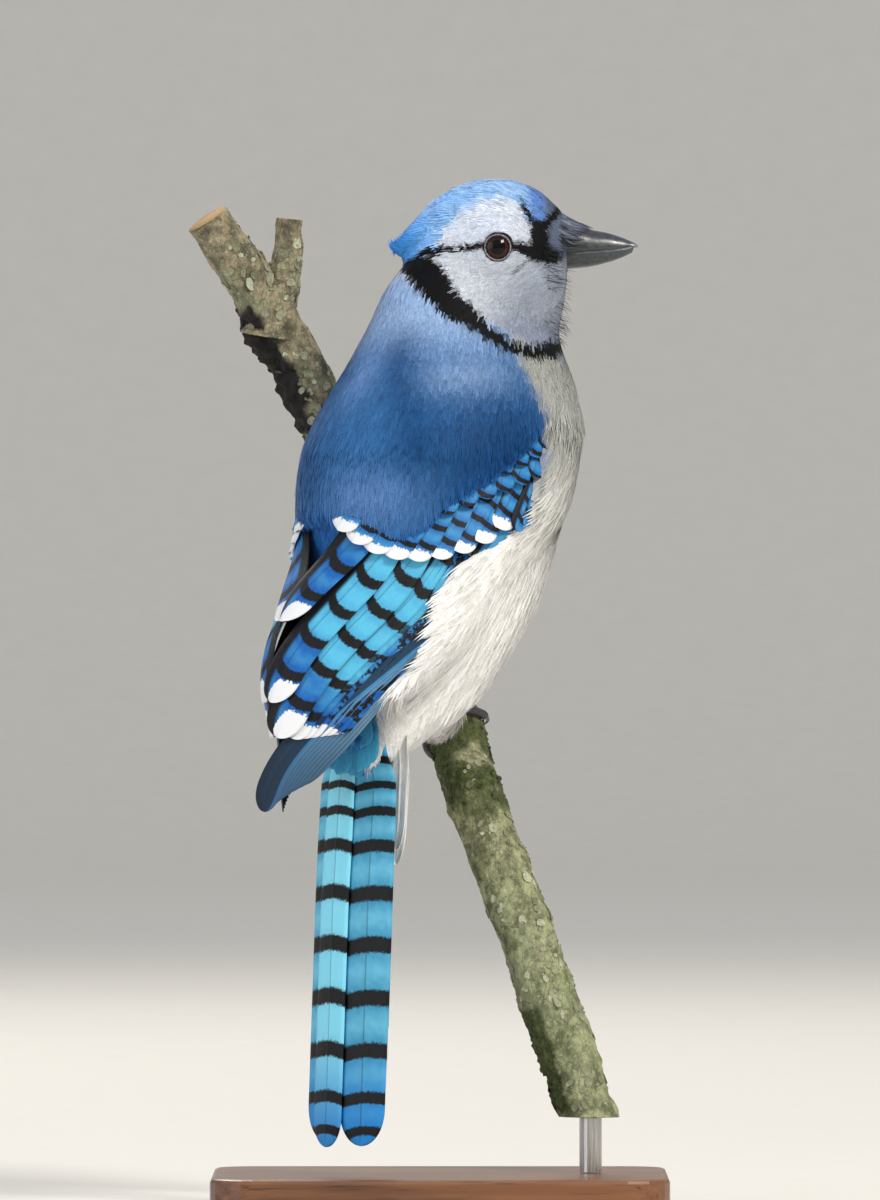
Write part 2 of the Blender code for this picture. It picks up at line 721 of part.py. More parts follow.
def head_ring(row, grow=0.0):
    along, crown, throat, wide = row
    middle, tall = (crown + throat) / 2, (crown - throat) / 2
    ring = []
    for side in range(HEAD_SIDES):
        turn = 2 * math.pi * side / HEAD_SIDES
        narrow = 1 - 0.08 * math.cos(turn)
        y = HEAD_Y + (wide * narrow + grow) * math.sin(turn)
        ring.append(Vector((along, y, middle + (tall + grow) * math.cos(turn))))
    return ring


def bill_half(name, upper, grow, slot, collection):
    """Upper or lower half of the bill: flat at the mouth line, arched away from it."""
    rings = []
    arch = [math.radians(a) for a in (0, 25, 50, 75, 105, 130, 155, 180)]
    for along, top, mouth, bottom, wide in BILL_STATIONS:
        flat = mouth + (GAP / 2 - grow if upper else -GAP / 2 + grow)
        tall = (top - flat + grow) if upper else (bottom - flat - grow)
        rings.append(
            [
                Vector((along, HEAD_Y + (wide + grow) * math.cos(a), flat + tall * math.sin(a)))
                for a in arch
            ]
        )
    tip_x, tip_z = BILL_TIP
    nudge = GAP if upper else -GAP
    tip = Vector((tip_x if upper else tip_x - 0.0012, HEAD_Y, tip_z + nudge))
    rings.append([mix(tip, p, 0.12) for p in rings[-1]])
    return new_object(name, loft(name, rings), slot, collection)


def hugged(tree, place, lift):
    """The point of a surface nearest to place, lifted along its normal, and that normal."""
    near, normal, _, _ = tree.find_nearest(place)
    return near + normal * lift, normal


def crest_vanes(tree, grow=0.0):
    """Crown feathers that lie back and end in the crest's point at the nape."""
    vanes = []
    for row, (root_x, tip_x, count, spread, width) in enumerate(
        ((0.0105, -0.0060, 7, 0.0125, 0.0066), (0.0010, -0.0130, 5, 0.0085, 0.0064))
    ):
        for number in range(count):
            share = 2 * number / (count - 1) - 1
            root = Vector((root_x - 0.003 * abs(share), HEAD_Y + share * spread, 0.2950))
            drop = 0.0080 + 0.0085 * abs(share)
            tip = Vector((tip_x + 0.003 * abs(share), HEAD_Y + share * spread * 0.55, 0.2795 - drop))
            stations = []
            last = None
            for along, wide in SHORT_VANE_SHAPE:
                lift = mix(-0.0006, 0.0009 - 0.0003 * row, min(along * 1.6, 1))
                lift += 0.0003 * (number % 2) * along
                aim = root.lerp(tip, along) + UP * 0.004 * math.sin(math.pi * along)
                middle, normal = hugged(tree, aim, lift)
                if last is not None and along == 1:
                    middle = last + (tip - root).normalized() * (width * 0.8)
                way = (tip - root).normalized()
                across = normal.cross(way).normalized()
                reach = across * (width / 2 * wide)
                stations.append((middle - reach, middle + normal * 0.0002, middle + reach, normal,
                                 VANE_THICK))
                last = middle
            vanes.append(vane("vane", stations, grow))
    return vanes


def nostril_bristles():
    """Stiff feathers that lie forward over the root of the bill and hide the nostrils."""
    vanes = []
    for turn in (-64, -32, 0, 32, 64):
        angle = math.radians(turn)
        stations = []
        for along, x, wide in ((0.0, 0.0335, 0.8), (0.5, 0.0390, 1.0), (0.85, 0.0430, 0.8),
                               (1.0, 0.0450, 0.4)):
            top, mouth, _, half = between(BILL_STATIONS, x)
            off = 0.0009 if turn % 64 == 0 else 0.0012
            out = Vector((0, math.sin(angle) * (half + off), math.cos(angle) * (top - mouth + off)))
            middle = Vector((x, HEAD_Y, mouth)) + out
            normal = Vector((0, math.sin(angle), math.cos(angle)))
            reach = Vector((0, math.cos(angle), -math.sin(angle))) * (0.0017 * wide)
            stations.append((middle - reach, middle, middle + reach, normal, VANE_THICK))
        vanes.append(vane("vane", stations))
    return vanes


def lid_ring(side):
    """Ring of the eyelids, standing a little off the face."""
    out = math.sqrt((EYE_RADIUS + GAP + LID_THICK) ** 2 - LID_RADIUS**2)
    centre = Vector((EYE_X, HEAD_Y + side * (EYE_CENTRE_OUT + out), EYE_Z))
    rings = []
    for step in range(18):
        turn = 2 * math.pi * step / 18
        away = Vector((math.cos(turn), 0, math.sin(turn)))
        deep = Vector((0, -side, 0))
        rings.append(
            [
                centre + away * (LID_RADIUS + LID_THICK * math.cos(a))
                + deep * (LID_THICK * (math.sin(a) + (0.9 if math.sin(a) > 0.5 else 0)))
                for a in (math.radians(60 * k) for k in range(6))
            ]
        )
    count = 6
    points = [p for ring in rings for p in ring]
    faces = []
    for row in range(18):
        for k in range(count):
            a, b = row * count + k, row * count + (k + 1) % count
            c, d = (a + count) % len(points), (b + count) % len(points)
            faces += [(a, b, d), (a, d, c)]
    return mesh_from("lid", points, faces)


def make_head(neck, collection):
    head = new_object(
        "head", loft("head", [head_ring(row) for row in HEAD_RINGS]), "plumage_white", collection
    )
    tree = BVHTree.FromObject(head, bpy.context.evaluated_depsgraph_get())
    groove_path = []
    for side in (RIGHT, LEFT):
        places = [
            hugged(tree, Vector((x, HEAD_Y + side * 0.02, z)), 0.0)[0] for x, z in GAPE_POINTS
        ]
        groove_path.append(tube("groove", places, [0.00045] * len(places), smooth=False))
    boolean(neck, [loft("head", [head_ring(row, GAP) for row in HEAD_RINGS])], "DIFFERENCE")
    boolean(neck, crest_vanes(tree, GAP), "DIFFERENCE")
    pieces = crest_vanes(tree) + nostril_bristles() + [lid_ring(RIGHT), lid_ring(LEFT)]
    boolean(head, pieces, "UNION")
    upper = bill_half("bill_upper", True, 0.0, "bill_black", collection)
    lower = bill_half("bill_lower", False, 0.0, "bill_black", collection)
    cutters = groove_path
    for half, is_upper in ((upper, True), (lower, False)):
        fat = bill_half(half.name + "_fat", is_upper, GAP, None, collection)
        cutters.append(fat.data)
        bpy.data.objects.remove(fat)
    for side, name in ((RIGHT, "eye_right"), (LEFT, "eye_left")):
        centre = Vector((EYE_X, HEAD_Y + side * EYE_CENTRE_OUT, EYE_Z))
        new_object(name, ball(name, centre, [EYE_RADIUS] * 3, 14, 9), "eye_brown", collection)
        cutters.append(ball("socket", centre, [EYE_RADIUS + GAP] * 3, 14, 9))
    boolean(head, cutters, "DIFFERENCE")
    return head


def smooth_path(rows, steps):
    """Points and radii on a smooth curve through (point, radius) rows."""
    flat = [(i, *point, radius) for i, (point, radius) in enumerate(rows)]
    made = [between(flat, i * (len(rows) - 1) / steps) for i in range(steps + 1)]
    return [Vector(m[:3]) for m in made], [m[3] for m in made]


def make_perch(collection):
    """A cut length of branch with the stub of its fork, knots and lifted bark."""
    points, radii = smooth_path(PERCH_POINTS, 24)
    perch = new_object(
        "perch", tube("perch", points, radii, smooth=False, rings=2), "bark", collection
    )
    twig = tube("twig", [Vector(p) for p, _ in TWIG_POINTS], [r for _, r in TWIG_POINTS], rings=2)
    knots = [
        ball("knot", Vector(place), half, 8, 6)
        for place, half in (
            ((0.0185, 0.0020, 0.1150), (0.0045, 0.0035, 0.0075)),
            ((0.0050, 0.0120, 0.1255), (0.0050, 0.0030, 0.0090)),
            ((0.0165, 0.0060, 0.1240), (0.0040, 0.0040, 0.0060)),
            ((-0.0515, 0.0400, 0.2480), (0.0035, 0.0040, 0.0105)),
            ((0.0322, -0.0065, 0.0600), (0.0030, 0.0028, 0.0035)),
        )
    ]
    boolean(perch, [twig, *knots], "UNION")
    below = Vector((PERCH_POINTS[-1][0][0], 0, PERCH_FOOT - 0.02))
    box = bmesh.new()
    bmesh.ops.create_cube(box, size=0.04, matrix=Matrix.Translation(below))
    cut = bpy.data.meshes.new("cut")
    box.to_mesh(cut)
    box.free()
    boolean(perch, [cut], "DIFFERENCE")
    return perch


def round_branch(height, angle, off, along=0.0):
    """A point off the branch's surface: angle turns from the side that faces the bird."""
    points, radii = smooth_path(PERCH_POINTS, 200)
    low = min(range(1, 200), key=lambda i: abs(points[i].z - height))
    axis = (points[low + 1] - points[low - 1]).normalized()
    middle = points[low] + axis * along
    to_bird = BELLY_MIDDLE - middle
    near = (to_bird - axis * to_bird.dot(axis)).normalized()
    beside = axis.cross(near)
    turn = math.radians(angle)
    return middle + (near * math.cos(turn) + beside * math.sin(turn)) * (radii[low] + off)


def make_foot(side, collection):
    """Shank and four toes that close round the branch, each with its claw."""
    name = "foot_right" if side == RIGHT else "foot_left"
    height = FOOT_HEIGHTS[side]
    off = TOE_RADIUS + GAP + 0.00025
    pieces = []
    for reach, fan, thick in TOES:
        points = [
            round_branch(height, reach * share, off + TOE_RADIUS * rise, fan * min(share * 2, 1))
            for share, rise, _ in TOE_SHAPE
        ]
        radii = [TOE_RADIUS * thick * width for _, _, width in TOE_SHAPE]
        pieces.append(tube("toe", points, radii, smooth=False))
    foot = new_object(name, shank(side), "foot_black", collection)
    boolean(foot, pieces, "UNION")
    return foot


def shank(side, grow=0.0):
    """The bare leg, from the branch up into the thigh."""
    ankle = round_branch(FOOT_HEIGHTS[side], 0, TOE_RADIUS + GAP + 0.0007)
    hock = torso_place(*THIGHS[side]) - UP * 0.006
    hock += (hock - ankle).normalized() * grow
    radii = [TARSUS_RADIUS * share + grow for share in (1.15, 1, 1.2)]
    return tube("shank", [ankle, ankle.lerp(hock, 0.5), hock], radii, smooth=False)


def thigh_shape(side, grow=0.0):
    centre = torso_place(*THIGHS[side])
    return ball("thigh", centre, [half + grow for half in THIGH_HALF], 14, 9)


def make_thigh(side, collection):
    name = "thigh_right" if side == RIGHT else "thigh_left"
    return new_object(name, thigh_shape(side), "plumage_white", collection)


def make_stand(collection):
    base = bmesh.new()
    bmesh.ops.create_cube(
        base, size=1, matrix=Matrix.Translation((0, 0, BASE_SIZE[2] / 2))
        @ Matrix.Diagonal((*BASE_SIZE, 1)),
    )
    upright = [e for e in base.edges if abs(e.verts[0].co.z - e.verts[1].co.z) > BASE_SIZE[2] / 2]
    bmesh.ops.bevel(base, geom=upright, offset=BASE_CORNER, segments=6, affect="EDGES", profile=0.5)
    top = [e for e in base.edges if all(v.co.z > BASE_SIZE[2] * 0.9 for v in e.verts)]
    bmesh.ops.bevel(base, geom=top, offset=BASE_EDGE, segments=2, affect="EDGES", profile=0.5)
    mesh = bpy.data.meshes.new("stand_base")
    base.to_mesh(mesh)
    base.free()
    new_object("stand_base", mesh, "stand_wood", collection)
    points, _ = smooth_path(PERCH_POINTS, 100)
    foot = min(points, key=lambda p: abs(p.z - PERCH_FOOT))
    rod = bmesh.new()
    low, high = BASE_SIZE[2] + GAP, PERCH_FOOT - GAP
    bmesh.ops.create_cone(
        rod, cap_ends=True, segments=20, radius1=ROD_RADIUS, radius2=ROD_RADIUS, depth=high - low,
        matrix=Matrix.Translation((foot.x, foot.y, (low + high) / 2)),
    )
    mesh = bpy.data.meshes.new("stand_rod")
    rod.to_mesh(mesh)
    rod.free()
    new_object("stand_rod", mesh, "stand_metal", collection)


def make_materials():
    for name, (colour, rough) in COLOURS.items():
        material = bpy.data.materials.new(name)
        material.use_nodes = True
        shader = material.node_tree.nodes["Principled BSDF"]
        shader.inputs["Base Color"].default_value = colour
        shader.inputs["Roughness"].default_value = rough
        shader.inputs["Metallic"].default_value = 1.0 if name == "stand_metal" else 0.0
        material.diffuse_color = colour


def make_jay():
    clear_scene()
    make_materials()
    jay = bpy.data.collections.new("blue_jay")
    bpy.context.scene.collection.children.link(jay)
    torso = body_part("torso", RUMP_TOP, TORSO_TOP - GAP, "plumage_blue", jay)
    neck = body_part("neck", TORSO_TOP, BODY_RINGS[-1][0], "plumage_blue", jay)
    make_head(neck, jay)
    rump = make_rump(jay)
    make_tail(jay)
    thighs = {side: make_thigh(side, jay) for side in (RIGHT, LEFT)}
    boolean(thighs[RIGHT], [thigh_shape(LEFT, GAP)], "DIFFERENCE")
    for side in (RIGHT, LEFT):
        make_wing(side, jay)
        make_foot(side, jay)
        bed = wing_arm(side, WING_BED_RIM, GAP, WING_BED_WIDER)
        boolean(torso, [bed, *wing_vanes(side, GAP, PRESSED_VANES)], "DIFFERENCE")
        for body in (torso, rump):
            boolean(body, [thigh_shape(side, GAP)], "DIFFERENCE")
        for flesh in (torso, rump, thighs[side]):
            boolean(flesh, [shank(side, GAP)], "DIFFERENCE")
    make_perch(jay)
    make_stand(jay)
    for obj in jay.objects:
        smooth(obj)


make_jay()
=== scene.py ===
# A blue jay as a museum model on its perch and stand: skin, coat, flight feathers, bill, eyes,
# feet, bark and stand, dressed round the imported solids. Metres and degrees, +Z up, bill along +X.
import math

import bmesh
import bpy
import numpy as np
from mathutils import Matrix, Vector, noise
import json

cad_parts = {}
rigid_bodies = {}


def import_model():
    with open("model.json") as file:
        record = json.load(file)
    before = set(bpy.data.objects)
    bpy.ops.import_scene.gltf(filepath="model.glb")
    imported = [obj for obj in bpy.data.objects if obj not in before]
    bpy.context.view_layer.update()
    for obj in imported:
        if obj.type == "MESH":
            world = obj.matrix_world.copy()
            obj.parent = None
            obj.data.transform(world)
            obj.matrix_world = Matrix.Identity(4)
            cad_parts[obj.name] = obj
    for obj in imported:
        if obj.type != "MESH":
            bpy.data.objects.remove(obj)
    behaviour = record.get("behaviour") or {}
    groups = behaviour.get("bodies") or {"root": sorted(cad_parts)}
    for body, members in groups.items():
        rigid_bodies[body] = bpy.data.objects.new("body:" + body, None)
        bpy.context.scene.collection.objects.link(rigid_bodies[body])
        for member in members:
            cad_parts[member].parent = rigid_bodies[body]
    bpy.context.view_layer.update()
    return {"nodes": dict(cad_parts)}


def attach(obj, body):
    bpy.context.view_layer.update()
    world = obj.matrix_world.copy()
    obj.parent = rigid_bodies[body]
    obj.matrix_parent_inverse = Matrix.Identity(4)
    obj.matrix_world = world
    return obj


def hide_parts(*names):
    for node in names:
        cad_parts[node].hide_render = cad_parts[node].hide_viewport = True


for leftover in list(bpy.data.objects):
    bpy.data.objects.remove(leftover)
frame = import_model()

right, left = -1, 1
up = np.array((0.0, 0.0, 1.0))


# Small helpers
def unit(vectors):
    return vectors / np.maximum(np.linalg.norm(vectors, axis=-1, keepdims=True), 1e-12)


def mix(a, b, share):
    return a + (b - a) * share


def ramp(value, low, high):  # 0 at low, 1 at high, smooth between
    t = np.clip((np.asarray(value, float) - low) / (high - low), 0, 1)
    return t * t * (3 - 2 * t)


def hump(value, middle, reach):  # 1 at the middle, falling away softly
    return np.exp(-(((value - middle) / reach) ** 2))


def facing(yaw):  # forward and left, level, of something turned by yaw
    turn = math.radians(yaw)
    return np.array((math.cos(turn), math.sin(turn), 0)), np.array((-math.sin(turn), math.cos(turn), 0))


def rowsAt(rows, place):  # each later column of rows, on a smooth curve through the first
    table = np.array(rows, float)
    knots = table[:, 0]
    place = np.clip(np.asarray(place, float), knots[0], knots[-1])
    i = np.clip(np.searchsorted(knots, place, "right") - 1, 0, len(knots) - 2)
    before, after = np.maximum(i - 1, 0), np.minimum(i + 2, len(knots) - 1)
    span = (knots[i + 1] - knots[i])[..., None]
    t = (place - knots[i])[..., None] / span
    slopeIn = (table[i + 1] - table[before]) / (knots[i + 1] - knots[before])[..., None] * span
    slopeOut = (table[after] - table[i]) / (knots[after] - knots[i])[..., None] * span
    made = (
        table[i] * (2 * t**3 - 3 * t**2 + 1) + slopeIn * (t**3 - 2 * t**2 + t)
        + table[i + 1] * (3 * t**2 - 2 * t**3) + slopeOut * (t**3 - t**2)
    )
    return np.moveaxis(made[..., 1:], -1, 0)


def colour(code):  # a web colour as linear light
    parts = np.array([int(code[k:k + 2], 16) / 255 for k in (1, 3, 5)])
    return np.where(parts < 0.04045, parts / 12.92, ((parts + 0.055) / 1.055) ** 2.4)


def paint(code):
    return (*colour(code), 1.0)


class Pile:  # gathers the points, faces and named values of many shapes into one mesh
    def __init__(self):
        self.points, self.faces, self.values, self.count = [], [], {}, 0

    def add(self, points, faces, **values):
        points = np.asarray(points, float).reshape(-1, 3)
        self.points.append(points)
        self.faces += [tuple(int(k) + self.count for k in face) for face in faces]
        for name, value in values.items():
            value = np.asarray(value, float)
            if len(value) != len(points):  # one value for all the points
                value = np.broadcast_to(value, (len(points), len(value)))
            self.values.setdefault(name, []).append(value)
        self.count += len(points)

    def build(self, name, *materials, smooth=True):
        mesh = bpy.data.meshes.new(name)
        mesh.from_pydata(np.concatenate(self.points).tolist(), [], self.faces)
        for key, parts in self.values.items():
            addValue(mesh, key, np.concatenate(parts))
        for material in materials:
            mesh.materials.append(material)
        if smooth:
            mesh.shade_smooth()
        obj = bpy.data.objects.new(name, mesh)
        bpy.context.scene.collection.objects.link(obj)
        return obj


def addValue(mesh, name, value):  # a number, a place or a colour at each point
    value = np.asarray(value, np.float32)
    width = value.shape[1] if value.ndim > 1 else 1
    kind, key = {1: ("FLOAT", "value"), 3: ("FLOAT_VECTOR", "vector"), 4: ("FLOAT_COLOR", "color")}[width]
    mesh.attributes.new(name, kind, "POINT").data.foreach_set(key, value.ravel())


def gridFaces(rows, columns, start=0, closed=False, flip=False):
    faces = []
    for row in range(rows - 1):
        for column in range(columns if closed else columns - 1):
            a = start + row * columns + column
            b = start + row * columns + (column + 1) % columns
            face = (a, b, b + columns, a + columns)
            faces.append(face[::-1] if flip else face)
    return faces


def tubeMesh(rings):  # faces of a tube through rings, with its end fans
    rows, columns = rings.shape[:2]
    points = np.concatenate((rings.reshape(-1, 3), rings[:1].mean(1), rings[-1:].mean(1)))
    faces = gridFaces(rows, columns, closed=True)
    last = (rows - 1) * columns
    for k in range(columns):
        after = (k + 1) % columns
        faces.append((after, k, rows * columns))
        faces.append((last + k, last + after, rows * columns + 1))
    return points, faces


def outward(obj):
    shaped = bmesh.new()
    shaped.from_mesh(obj.data)
    bmesh.ops.recalc_face_normals(shaped, faces=shaped.faces)
    shaped.to_mesh(obj.data)
    shaped.free()
    return obj


def sweep(path, radii, sides):  # rings round a path, turned as little as possible
    path = np.asarray(path, float)
    way = unit(np.gradient(path, axis=0))
    side = unit(np.cross(way[0], (0.3, 0.9, 0.2)))
    turns = np.linspace(0, 2 * math.pi, sides, endpoint=False)
    rings = []
    for k, middle in enumerate(path):
        side = unit(side - way[k] * side.dot(way[k]))
        other = np.cross(way[k], side)
        rings.append(middle + radii[k] * (np.cos(turns)[:, None] * side + np.sin(turns)[:, None] * other))
    return np.array(rings)


def applied(obj):  # the evaluated mesh, with the modifiers gone
    bpy.context.view_layer.update()
    made = bpy.data.meshes.new_from_object(obj.evaluated_get(bpy.context.evaluated_depsgraph_get()))
    obj.modifiers.clear()
    obj.data = made
    return obj


def finished(obj, slot, *nodes):
    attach(obj, "root")
    if nodes:
        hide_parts(*nodes)
    print(f"{obj.name}: {sum(len(p.vertices) - 2 for p in obj.data.polygons)} triangles")
    return obj


# Shader helpers
def lay(tree, kind, inputs=None, output=0, **settings):
    node = tree.nodes.new(kind)
    for name, value in settings.items():
        setattr(node, name, value)
    for key, value in (inputs or {}).items():
        if isinstance(value, bpy.types.NodeSocket):
            tree.links.new(value, node.inputs[key])
        else:
            node.inputs[key].default_value = value
    return node.outputs[output]


def calc(tree, operation, *values):
    return lay(tree, "ShaderNodeMath", dict(enumerate(values)), operation=operation)


def tinted(tree, factor, a, b, kind="MIX"):
    return lay(tree, "ShaderNodeMix", {0: factor, 6: a, 7: b}, 2, data_type="RGBA", blend_type=kind)


def stepped(tree, value, low, high, start=0.0, end=1.0):
    return lay(tree, "ShaderNodeMapRange", {0: value, 1: low, 2: high, 3: start, 4: end},
               interpolation_type="SMOOTHSTEP")


def grain(tree, vector, scale, detail=3.0, rough=0.5):
    return lay(tree, "ShaderNodeTexNoise",
               {"Vector": vector, "Scale": scale, "Detail": detail, "Roughness": rough})


def stretched(tree, vector, *scale):
    return lay(tree, "ShaderNodeVectorMath", {0: vector, 1: scale}, operation="MULTIPLY")


def objectPlace(tree):
    return lay(tree, "ShaderNodeTexCoord", output=3)


def stored(tree, name, output=1):
    return lay(tree, "ShaderNodeAttribute", output=output, attribute_name=name)


def parts(tree, vector):
    node = tree.nodes.new("ShaderNodeSeparateXYZ")
    tree.links.new(vector, node.inputs[0])
    return node.outputs[0], node.outputs[1], node.outputs[2]


def fromEye(tree):  # how far a place is from the eye's middle seen from the side, and its turn
    made = useGroup(tree, eyeGroup)
    return made["Off"], made["Turn"]


def shaded(tree, tint, shade):
    return useGroup(tree, shadeGroup, Tint=tint, Shade=shade)["Color"]


def bumped(tree, height, strength, distance):
    return lay(tree, "ShaderNodeBump", {"Height": height, "Strength": strength, "Distance": distance})


def material(name, links=None, **values):  # links: function that gives the linked sockets
    made = bpy.data.materials.new(name)
    made.use_nodes = True
    tree = made.node_tree
    shader = next(n for n in tree.nodes if n.type == "BSDF_PRINCIPLED")
    for key, value in values.items():
        shader.inputs[key.replace("_", " ")].default_value = value
    for key, socket in (links(tree) if links else {}).items():
        tree.links.new(socket, shader.inputs[key])
    return made


def shaderGroup(name, inputs, outputs, build):
    tree = bpy.data.node_groups.new(name, "ShaderNodeTree")
    for label, kind, value in inputs:
        socket = tree.interface.new_socket(label, in_out="INPUT", socket_type=kind)
        if value is not None:
            socket.default_value = value
    for label, kind in outputs:
        tree.interface.new_socket(label, in_out="OUTPUT", socket_type=kind)
    given = tree.nodes.new("NodeGroupInput")
    result = tree.nodes.new("NodeGroupOutput")
    for label, socket in build(tree, {s.name: s for s in given.outputs if s.name}).items():
        tree.links.new(socket, result.inputs[label])
    return tree


def useGroup(tree, group, **values):
    node = tree.nodes.new("ShaderNodeGroup")
    node.node_tree = group
    for key, value in values.items():
        if isinstance(value, bpy.types.NodeSocket):
            tree.links.new(value, node.inputs[key])
        else:
            node.inputs[key].default_value = value
    return {s.name: s for s in node.outputs}


def makeShadeGroup():  # a colour made darker or lighter by a factor: painted shade with grain in the coat and soft coverts, grain alone elsewhere
    def build(tree, given):
        grey = lay(tree, "ShaderNodeCombineColor", {k: given["Shade"] for k in range(3)})
        return {"Color": tinted(tree, 1.0, given["Tint"], grey, "MULTIPLY")}

    inputs = (("Tint", "NodeSocketColor", paint("#808080")), ("Shade", "NodeSocketFloat", 1.0))
    return shaderGroup("shadeTone", inputs, (("Color", "NodeSocketColor"),), build)


def makeEyeGroup():
    def build(tree, given):
        x, y, z = parts(tree, objectPlace(tree))
        dx = calc(tree, "SUBTRACT", x, eyeSpot["x"])
        dz = calc(tree, "SUBTRACT", z, eyeSpot["z"])
        squares = calc(tree, "ADD", calc(tree, "MULTIPLY", dx, dx), calc(tree, "MULTIPLY", dz, dz))
        return {"Off": calc(tree, "SQRT", squares), "Turn": calc(tree, "ARCTAN2", dz, dx)}

    return shaderGroup("fromEye", (), (("Off", "NodeSocketFloat"), ("Turn", "NodeSocketFloat")), build)


# Camera, light and floor
studio = {
    "lens": 400, "sensor": 36, "away": 3.8, "height": 0.1733, "view": "Standard",
    "keyPower": 40, "fillPower": 15, "rimPower": 16, "world": 0.66,
    "floor": "#e4e1db", "floorFlat": 4.6, "wall": 6.4,
}


def makeStudio():
    scene = bpy.context.scene
    scene.view_settings.view_transform = studio["view"]
    lens = bpy.data.cameras.new("camera")
    lens.lens, lens.sensor_width, lens.sensor_height = studio["lens"], studio["sensor"], studio["sensor"]
    lens.clip_start, lens.clip_end = 0.1, 40
    eye = bpy.data.objects.new("camera", lens)
    eye.location = (0, -studio["away"], studio["height"])
    eye.rotation_euler = (math.radians(90), 0, 0)
    scene.collection.objects.link(eye)
    scene.camera = eye
    middle = Vector((0, 0, 0.17))
    for name, place, size, power, tone in (
        ("key", (1.1, -1.5, 1.7), 0.55, studio["keyPower"], "#fff9f0"),
        ("fill", (-1.9, -1.4, 0.7), 1.6, studio["fillPower"], "#eaf1ff"),
        ("rim", (-0.6, 1.7, 1.5), 0.9, studio["rimPower"], "#fff8ee"),
    ):
        light = bpy.data.lights.new(name, "AREA")
        light.energy, light.size, light.color = power, size, tuple(colour(tone))
        lamp = bpy.data.objects.new(name, light)
        lamp.location = place
        lamp.rotation_euler = (middle - Vector(place)).to_track_quat("-Z", "Y").to_euler()
        scene.collection.objects.link(lamp)
    world = bpy.data.worlds.new("studio")
    world.use_nodes = True
    background = next(n for n in world.node_tree.nodes if n.type == "BACKGROUND")
    background.inputs[0].default_value = paint("#f1f3f6")
    background.inputs[1].default_value = studio["world"]
    scene.world = world
    flat, wall = studio["floorFlat"], studio["wall"]
    bend = wall - flat
    profile = [(r, 0.0) for r in np.linspace(0.02, flat, 14)]
    profile += [(flat + bend * math.sin(a), bend * (1 - math.cos(a))) for a in np.radians(range(6, 91, 6))]
    profile += [(wall, bend + 1.2)]
    turns = np.linspace(0, 2 * math.pi, 96, endpoint=False)
    rings = np.array([[(r * math.cos(t), r * math.sin(t), z) for t in turns] for r, z in profile])
    pile = Pile()
    points = np.concatenate((rings.reshape(-1, 3), ((0, 0, 0),)))
    faces = gridFaces(len(profile), 96, closed=True, flip=False)
    faces += [((k + 1) % 96, k, len(points) - 1) for k in range(96)]
    pile.add(points, faces)

    def floorLinks(tree):
        place = objectPlace(tree)
        fine = grain(tree, place, 60.0, 4.0)
        tone = tinted(tree, stepped(tree, fine, 0.3, 0.7), paint(studio["floor"]), paint("#e6e3dd"))
        return {"Base Color": tone, "Roughness": stepped(tree, fine, 0.2, 0.8, 0.72, 0.82)}

    floor = pile.build("floor", material("floorPaper", floorLinks))
    print("studio ready")


# The body's forms, as in the solids: height, centre forward, half depth, half width
torsoForward, torsoLeft = facing(38)
tailForward, tailLeft = facing(48)
bodyRings = (
    (0.1288, -0.0232, 0.0072, 0.0078), (0.1348, -0.0172, 0.0124, 0.0124),
    (0.1448, -0.0110, 0.0195, 0.0195), (0.1591, -0.0072, 0.0273, 0.0258),
    (0.1733, -0.0049, 0.0336, 0.0310), (0.1876, -0.0036, 0.0375, 0.0345),
    (0.2018, -0.0018, 0.0405, 0.0360), (0.2161, 0.0011, 0.0411, 0.0355),
    (0.2303, 0.0049, 0.0382, 0.0330), (0.2446, 0.0071, 0.0321, 0.0280),
    (0.2531, 0.0080, 0.0285, 0.0240), (0.2617, 0.0070, 0.0235, 0.0190),
    (0.2697, 0.0030, 0.0135, 0.0125),
)
# along X, crown height, throat height, half width
headRings = (
    (-0.0100, 0.2765, 0.2700, 0.0030), (-0.0080, 0.2793, 0.2631, 0.0070),
    (-0.0051, 0.2833, 0.2583, 0.0105), (0.0000, 0.2879, 0.2517, 0.0140),
    (0.0057, 0.2909, 0.2480, 0.0163), (0.0114, 0.2925, 0.2457, 0.0170),
    (0.0171, 0.2927, 0.2446, 0.0167), (0.0228, 0.2919, 0.2440, 0.0152),
    (0.0285, 0.2893, 0.2446, 0.0128), (0.0322, 0.2862, 0.2460, 0.0102),
    (0.0345, 0.2839, 0.2517, 0.0078), (0.0362, 0.2816, 0.2645, 0.0055),
)
headY = 0.0040
# the crest's lobe over the nape: along X, height, half height, half width
crestRings = (
    (0.0040, 0.2815, 0.0075, 0.0125), (-0.0030, 0.2785, 0.0068, 0.0112),
    (-0.0080, 0.2758, 0.0050, 0.0085), (-0.0112, 0.2738, 0.0028, 0.0048),
    (-0.0126, 0.2729, 0.0010, 0.0018),
)
tailRoot = np.array((-0.0228, -0.0145, 0.1250))
tailCone = (  # height, distance under the tail's middle, half depth, half width
    (0.1380, 0.0010, 0.0080, 0.0100), (0.1285, 0.0026, 0.0064, 0.0105),
    (0.1200, 0.0046, 0.0042, 0.0096), (0.1110, 0.0050, 0.0032, 0.0078),
    (0.1040, 0.0050, 0.0022, 0.0054), (0.0990, 0.0048, 0.0012, 0.0026),
)
thighs = {left: (-0.0050, 0.0130, 0.1560), right: (0.0050, 0.0072, 0.1460)}
thighHalf = (0.0075, 0.0085, 0.0125)
eyeSpot = {"x": 0.0164, "z": 0.2735, "radius": 0.0060, "out": 0.01165, "lid": 0.00362, "lidThick": 0.00035}


def torsoPlace(forward, leftward, height):
    forward, leftward, height = np.broadcast_arrays(forward, leftward, height)
    return (
        forward[..., None] * torsoForward + leftward[..., None] * torsoLeft
        + np.asarray(height, float)[..., None] * up
    )


